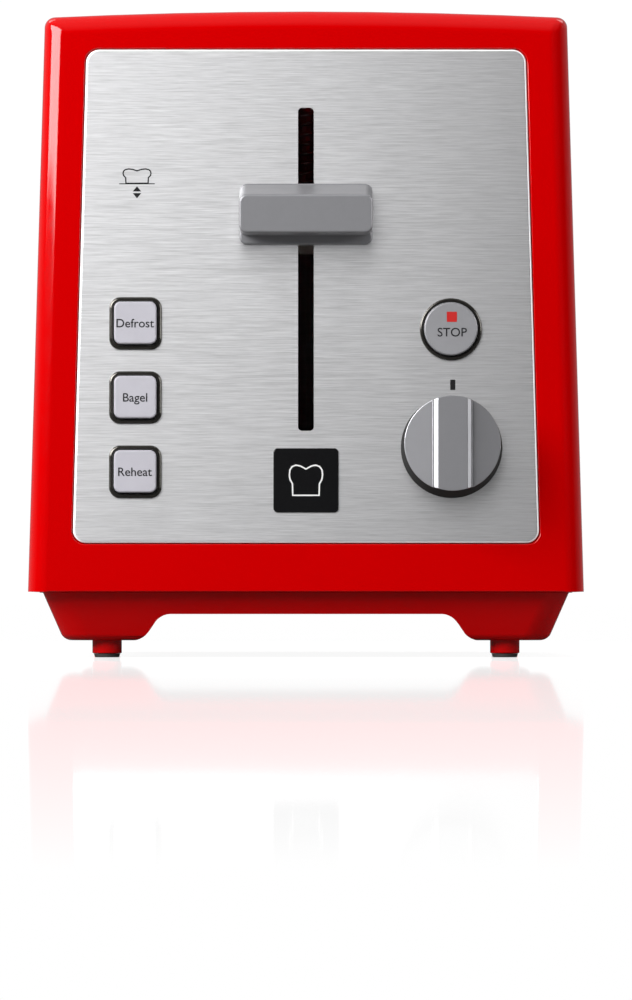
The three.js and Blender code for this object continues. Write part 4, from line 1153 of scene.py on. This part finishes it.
class TOASTER_OT_crumb_tray(bpy.types.Operator):
    """Steel crumb tray and its red pull"""

    bl_idname = "toaster.crumb_tray"
    bl_label = "Crumb tray"

    def execute(self, context):
        low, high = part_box("crumb_tray")
        pan = block("crumb_pan", low, high)
        soften(pan, 3 * MM, upright, 5)
        with editing(pan):
            select("FACE", lambda face: face.normal.z > 0.9)
            bpy.ops.mesh.inset(thickness=0.8 * MM)
            bpy.ops.mesh.extrude_region_move(TRANSFORM_OT_translate={"value": (0, 0, -(high.z - low.z - 0.8 * MM))})
        soften(pan, 0.5 * MM, rim("z", low.z), 3)
        soften(pan, 0.25 * MM, rim("z", high.z), 2)
        finish(pan, "crumb_tray", material_for("plain_steel"), ["crumb_tray"])

        low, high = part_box("crumb_tray_handle")
        wall = 130.2 * MM + 6 * MM
        front = block("tray_pull", low, (high.x, wall, high.z))
        soften(front, 1.2 * MM, lambda edge: sharp(edge) and all(abs(v.co.y - wall) < TOUCH for v in edge.verts), 4)
        profile = [(wall - 1.5 * MM, low.z), (high.y, low.z), (high.y, low.z + 1.9 * MM), (wall - 1.5 * MM, low.z + 5 * MM)]
        lip = seen_from_side(prism("lip", profile, 44 * MM), -22 * MM)
        soften(lip, 2.5 * MM, lambda edge: sharp(edge) and upright(edge) and edge.verts[0].co.y > high.y - TOUCH, 5)
        soften(lip, 0.6 * MM, lambda edge: sharp(edge) and any(v.co.y > wall for v in edge.verts), 3)
        fuse(front, lip)
        finish(front, "crumb_tray", material_for("red"), ["crumb_tray_handle"])
        return {"FINISHED"}


class TOASTER_OT_cord_gland(bpy.types.Operator):
    """Bush where the mains lead passes through the rear cover"""

    bl_idname = "toaster.cord_gland"
    bl_label = "Cord bush"

    def execute(self, context):
        low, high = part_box("cord_gland")
        place = ((low.x + high.x) / 2, 26 * MM)
        outer = disc("cord_bush", 15 * MM, 0.3 * MM, 2.1 * MM, place, 64)
        soften(outer, 0.7 * MM, rim("y", 2.1 * MM), 4)
        barrel = disc("barrel", 11.4 * MM, -8.4 * MM, 3 * MM, place, 64)
        soften(barrel, 0.6 * MM, rim("y", 3 * MM), 3)
        inner = disc("inner_flange", 15 * MM, -4.3 * MM, -2.7 * MM, place, 64)
        fuse(outer, barrel, inner)
        cut(outer, disc("bore", 6.6 * MM, -0.02, 0.02, place, 48))
        soften(outer, 0.4 * MM, rim("y", 3 * MM), 3)
        finish(on_back(outer), "housing", material_for("black_plastic"), ["cord_gland"])
        return {"FINISHED"}


# ----------------------------------------------------------------------------------------------------------------
# Inside


class TOASTER_OT_inside(bpy.types.Operator):
    """Lift spring, round-wire bread guides, and finishes for the pieces inside"""

    bl_idname = "toaster.inside"
    bl_label = "Inside"

    def execute(self, context):
        self.spring()
        self.guides()
        by_start = {
            "base_screw": "plain_steel", "pot_shaft": "plain_steel", "carriage_bracket": "plain_steel",
            "armature_plate": "plain_steel", "mechanism_frame": "plain_steel", "guide_rod": "plain_steel",
            "chamber": "reflector", "reflector": "reflector", "bread_rack": "wire", "heater_card": "mica",
            "heater_ribbon": "heating_wire", "button_board": "laminate", "control_board": "laminate",
            "carriage_bush": "nylon", "terminal_block": "nylon", "browning_pot": "black_plastic",
            "contact_block": "black_plastic", "electromagnet": "copper",
        }
        for node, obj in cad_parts.items():
            if obj.hide_render:
                continue
            start = next((key for key in by_start if node.startswith(key)), None)
            if start is None:
                raise RuntimeError(f"no finish is given for {node}")
            obj.data.materials.clear()
            obj.data.materials.append(material_for(by_start[start]))
        return {"FINISHED"}

    def spring(self):
        low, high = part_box("return_spring")
        wire, turns = 0.55 * MM, 12
        radius = (high.x - low.x) / 2 - wire
        x, y = (low.x + high.x) / 2, (low.y + high.y) / 2
        coil = add("circle", "lift_spring", vertices=10, radius=wire, rotation=(math.pi / 2, 0, 0),
                   location=(radius, 0, low.z + wire))
        pitch = (high.z - low.z - 2 * wire) / turns
        modify(coil, "SCREW", axis="Z", angle=2 * math.pi, screw_offset=pitch, iterations=turns, steps=28,
               render_steps=28, use_normal_calculate=True)
        with editing(coil):
            bpy.ops.mesh.select_all(action="SELECT")
            bpy.ops.mesh.remove_doubles(threshold=1e-6)
            select("EDGE", lambda edge: edge.is_boundary)
            bpy.ops.mesh.fill_holes(sides=0)
        coil.location = (x, y, 0)
        settle(coil)
        tidy_normals(coil)
        solo(coil)
        bpy.ops.object.shade_smooth_by_angle(angle=math.radians(50))
        coil.data.materials.append(material_for("wire"))
        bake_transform(coil)
        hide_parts("return_spring")

    def guides(self):
        for side in ("left", "right"):
            for place in ("inner", "outer"):
                node = f"bread_guide_{side}_{place}"
                low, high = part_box(node)
                x, y = (low.x + high.x) / 2, (low.y + high.y) / 2
                rod = 1.1 * MM
                pieces = []
                for z in (low.z + rod, high.z - rod):
                    bar = add("cylinder", "rod", vertices=16, radius=rod, depth=high.y - low.y,
                              rotation=(math.pi / 2, 0, 0), location=(x, y, z))
                    soften(bar, 0.3 * MM, sharp, 2)
                    pieces.append(bar)
                wire = add("cylinder", "wire", vertices=12, radius=0.8 * MM, depth=high.z - low.z - 2 * rod,
                           location=(x, y - 4 * 16.5 * MM, (low.z + high.z) / 2))
                pieces.append(wire)
                pieces += [copy(wire, "wire", (0, step * 16.5 * MM, 0)) for step in range(1, 9)]
                grille = gather(f"{node}_wires", pieces)
                finish(grille, node, material_for("wire"), [node])


# ----------------------------------------------------------------------------------------------------------------
# Stage

CAMERA_DISTANCE = 2.2
PICTURE_HEIGHT = 0.3032  # of the plane of the front face that the picture shows
ROOM = (0.0, 0.32)  # brightness of the room in front of the toaster and behind it
MIRROR = 0.9  # strength of the tabletop's mirror image where the toaster stands
FLOOR_GLOW = 0.93  # of the tabletop under the toaster, before the softboxes light it
SHEEN_ON = ("control_panel", "stop_cap", "defrost_cap", "bagel_cap", "reheat_cap")
EDGES_ON = ("browning_dial", "lever_grip")
SIDE_ON = ("lever_grip", "stop_bezel_ring", "defrost_bezel_ring", "bagel_bezel_ring",
           "reheat_bezel_ring", "badge_plate")


def softbox(name, place, target, width, height, power):
    """A rectangular light that faces a target."""
    light = bpy.data.lights.new(name, "AREA")
    light.shape = "RECTANGLE"
    light.size = width
    light.size_y = height
    light.energy = power
    obj = bpy.data.objects.new(name, light)
    bpy.context.scene.collection.objects.link(obj)
    obj.location = place
    obj.rotation_euler = (Vector(target) - Vector(place)).to_track_quat("-Z", "Y").to_euler()
    obj.visible_camera = False
    return obj


def light_group(title, names, state):
    """The named pieces as a group that a light takes in (INCLUDE) or leaves out (EXCLUDE)."""
    group = bpy.data.collections.new(title)
    for name in names:
        group.objects.link(bpy.data.objects[name])
    for item in group.collection_objects:
        item.light_linking.link_state = state
    return group


def light_only(light, names, state="INCLUDE"):
    """Lets a light fall on the named pieces alone, or on all others."""
    light.light_linking.receiver_collection = light_group(f"{light.name}_falls_on", names, state)


def shine_past(light, names):
    """Keeps the named pieces from throwing shadows in a light."""
    light.light_linking.blocker_collection = light_group(f"{light.name}_passes", names, "EXCLUDE")


def studio_world():
    """White to the camera; for light and reflections, pale behind and beside the toaster and dark in front of it."""
    world = bpy.data.worlds.new("studio")
    bpy.context.scene.world = world
    world.use_nodes = True
    tree = world.node_tree
    back = tree.nodes["Background"]
    out = tree.nodes["World Output"]
    coordinates = tree.nodes.new("ShaderNodeTexCoord").outputs["Generated"]
    split = tree.nodes.new("ShaderNodeSeparateXYZ")
    tree.links.new(coordinates, split.inputs["Vector"])
    behind = remap(tree, split.outputs["Y"], ROOM[0], ROOM[1], -0.35, 0.6)
    overhead = remap(tree, split.outputs["Z"], 0, ROOM[1], 0.5, 0.9)
    tree.links.new(math_node(tree, "MAXIMUM", behind, overhead), back.inputs["Strength"])
    back.inputs["Color"].default_value = (1, 1, 1, 1)
    white = tree.nodes.new("ShaderNodeBackground")
    white.inputs["Color"].default_value = (1, 1, 1, 1)
    white.inputs["Strength"].default_value = 1.02
    path = tree.nodes.new("ShaderNodeLightPath")
    mix = tree.nodes.new("ShaderNodeMixShader")
    tree.links.new(path.outputs["Is Camera Ray"], mix.inputs[0])
    tree.links.new(back.outputs[0], mix.inputs[1])
    tree.links.new(white.outputs[0], mix.inputs[2])
    tree.links.new(mix.outputs[0], out.inputs["Surface"])


def floor_material():
    """A white tabletop with a faint mirror image that weakens away from the toaster."""
    material = bpy.data.materials.new("tabletop")
    material.use_nodes = True
    tree = material.node_tree
    tree.nodes.clear()
    out = tree.nodes.new("ShaderNodeOutputMaterial")
    coordinates = tree.nodes.new("ShaderNodeTexCoord").outputs["Object"]
    away = tree.nodes.new("ShaderNodeVectorMath")
    away.operation = "LENGTH"
    tree.links.new(coordinates, away.inputs[0])
    ahead = math_node(tree, "SUBTRACT", CAMERA_DISTANCE + 0.125, away.outputs["Value"])
    fall = math_node(tree, "DIVIDE", 0.28125 * CAMERA_DISTANCE, math_node(tree, "MAXIMUM", ahead, 0.01))
    split = tree.nodes.new("ShaderNodeSeparateXYZ")
    tree.links.new(coordinates, split.inputs["Vector"])
    mirror_here = remap(tree, split.outputs["Y"], MIRROR, MIRROR * 0.4, -0.05, 0.3)
    share = math_node(tree, "MULTIPLY", math_node(tree, "MAXIMUM", math_node(tree, "SUBTRACT", 1.281, fall), 0),
                      mirror_here)
    grazing = tree.nodes.new("ShaderNodeLayerWeight").outputs["Facing"]
    share = math_node(tree, "MULTIPLY", share, math_node(tree, "POWER", grazing, 7))
    glow = tree.nodes.new("ShaderNodeEmission")
    plain = remap(tree, away.outputs["Value"], FLOOR_GLOW, 1, 0.15, 0.7)
    strength = math_node(tree, "SUBTRACT", plain, math_node(tree, "MULTIPLY", share, ROOM[1]))
    tree.links.new(strength, glow.inputs["Strength"])
    mirror = tree.nodes.new("ShaderNodeBsdfGlossy")
    mirror.inputs["Roughness"].default_value = 0.03
    tree.links.new(share, mirror.inputs["Color"])
    diffuse = tree.nodes.new("ShaderNodeBsdfDiffuse")
    tree.links.new(remap(tree, away.outputs["Value"], 0.1, 0, 0.15, 0.7), diffuse.inputs["Color"])
    sheen = tree.nodes.new("ShaderNodeAddShader")
    shown = tree.nodes.new("ShaderNodeAddShader")
    bounce = tree.nodes.new("ShaderNodeBsdfDiffuse")
    path = tree.nodes.new("ShaderNodeLightPath")
    tree.links.new(remap(tree, path.outputs["Is Glossy Ray"], 0.25, 0.05), bounce.inputs["Color"])
    mix = tree.nodes.new("ShaderNodeMixShader")
    tree.links.new(glow.outputs[0], sheen.inputs[0])
    tree.links.new(mirror.outputs[0], sheen.inputs[1])
    tree.links.new(sheen.outputs[0], shown.inputs[0])
    tree.links.new(diffuse.outputs[0], shown.inputs[1])
    tree.links.new(path.outputs["Is Camera Ray"], mix.inputs[0])
    tree.links.new(bounce.outputs[0], mix.inputs[1])
    tree.links.new(shown.outputs[0], mix.inputs[2])
    tree.links.new(mix.outputs[0], out.inputs["Surface"])
    return material


class TOASTER_OT_stage(bpy.types.Operator):
    """Floor, backdrop light, softboxes and camera"""

    bl_idname = "toaster.stage"
    bl_label = "Stage"

    def execute(self, context):
        scene = context.scene
        scene.view_settings.view_transform = "Standard"
        scene.view_settings.look = "None"
        floor = add("plane", "tabletop", size=40)
        floor.data.materials.append(floor_material())
        studio_world()
        aim = (0, MID_Y, 0.1)
        keys = [softbox(name, (-0.93, -0.88, 0.73), (0, MID_Y, 0.12), 1.36, 0.8, 37)
                for name in ("key_left", "key_left_on_panel")]
        light_only(keys[0], ("control_panel",), "EXCLUDE")
        light_only(keys[1], ("control_panel",))
        shine_past(keys[1], (*EDGES_ON, "carriage_bracket"))
        side = softbox("fill_right", (1.3, -0.9, 0.6), aim, 0.6, 0.8, 9)
        fills = (
            ("fill_front", (0.9, -1.3, 0.6), 0.8, 3),
            ("fill_top", (0.1, 0.25, 1.7), 1.3, 14),
            ("fill_side_right", (1.7, 0.3, 0.8), 1.0, 16),
            ("fill_side_left", (-1.7, 0.5, 0.8), 1.0, 7),
            ("fill_back", (0.3, 1.8, 0.8), 1.0, 12),
        )
        for name, place, size, power in fills:
            softbox(name, place, aim, size, size, power).visible_glossy = False
        softbox("back_left", (-0.9, 1.0, 1.5), aim, 0.8, 0.8, 4)
        softbox("back_right", (0.9, 1.0, 1.5), aim, 0.8, 0.8, 4)
        sheen = softbox("front_sheen", (-0.43, -1.0, 0.5), (-0.43, 0, 0.5), 1.0, 0.8, 3.5)
        light_only(sheen, SHEEN_ON)
        for side_way, power in ((-1, 3.2), (1, 1.6)):
            strip = softbox(f"edge_{side_way}", (side_way, FRONT_LOW.y - 0.25, 0.14), (0, FRONT_LOW.y, 0.1),
                            0.4, 0.7, power)
            light_only(strip, EDGES_ON)
        light_only(side, (*SHEEN_ON, *SIDE_ON))

        camera = bpy.data.cameras.new("camera")
        camera.sensor_width = 36
        camera.lens = camera.sensor_width * CAMERA_DISTANCE / PICTURE_HEIGHT
        obj = bpy.data.objects.new("camera", camera)
        scene.collection.objects.link(obj)
        obj.location = (0, FRONT_LOW.y - CAMERA_DISTANCE, 0.018)
        target = Vector((3.05 * MM, FRONT_LOW.y, 47.8 * MM))
        obj.rotation_euler = (target - obj.location).to_track_quat("-Z", "Y").to_euler()
        scene.camera = obj
        return {"FINISHED"}


# ----------------------------------------------------------------------------------------------------------------
# Panel and registration

STEPS = (
    TOASTER_OT_housing,
    TOASTER_OT_slot_plate,
    TOASTER_OT_control_plate,
    TOASTER_OT_badge,
    TOASTER_OT_base,
    TOASTER_OT_crumb_tray,
    TOASTER_OT_cord_gland,
    TOASTER_OT_lever,
    TOASTER_OT_buttons,
    TOASTER_OT_stop_button,
    TOASTER_OT_browning_knob,
    TOASTER_OT_inside,
    TOASTER_OT_stage,
)


class TOASTER_PT_panel(bpy.types.Panel):
    bl_idname = "TOASTER_PT_panel"
    bl_label = "Toaster"
    bl_space_type = "VIEW_3D"
    bl_region_type = "UI"
    bl_category = "Toaster"

    def draw(self, context):
        for group in (context.scene.toaster_sizes, context.scene.toaster_colours):
            box = self.layout.box()
            for name in group.bl_rna.properties.keys():
                if name not in ("rna_type", "name"):
                    box.prop(group, name)
        for step in STEPS:
            self.layout.operator(step.bl_idname)


CLASSES = (ToasterSizes, ToasterColours, *STEPS, TOASTER_PT_panel)


def register():
    for cls in CLASSES:
        bpy.utils.register_class(cls)
    bpy.types.Scene.toaster_sizes = PointerProperty(type=ToasterSizes)
    bpy.types.Scene.toaster_colours = PointerProperty(type=ToasterColours)


def unregister():
    del bpy.types.Scene.toaster_colours
    del bpy.types.Scene.toaster_sizes
    for cls in reversed(CLASSES):
        bpy.utils.unregister_class(cls)


def main():
    register()
    for step in STEPS:
        area, name = step.bl_idname.split(".")
        getattr(getattr(bpy.ops, area), name)()


if __name__ == "__main__":
    main()
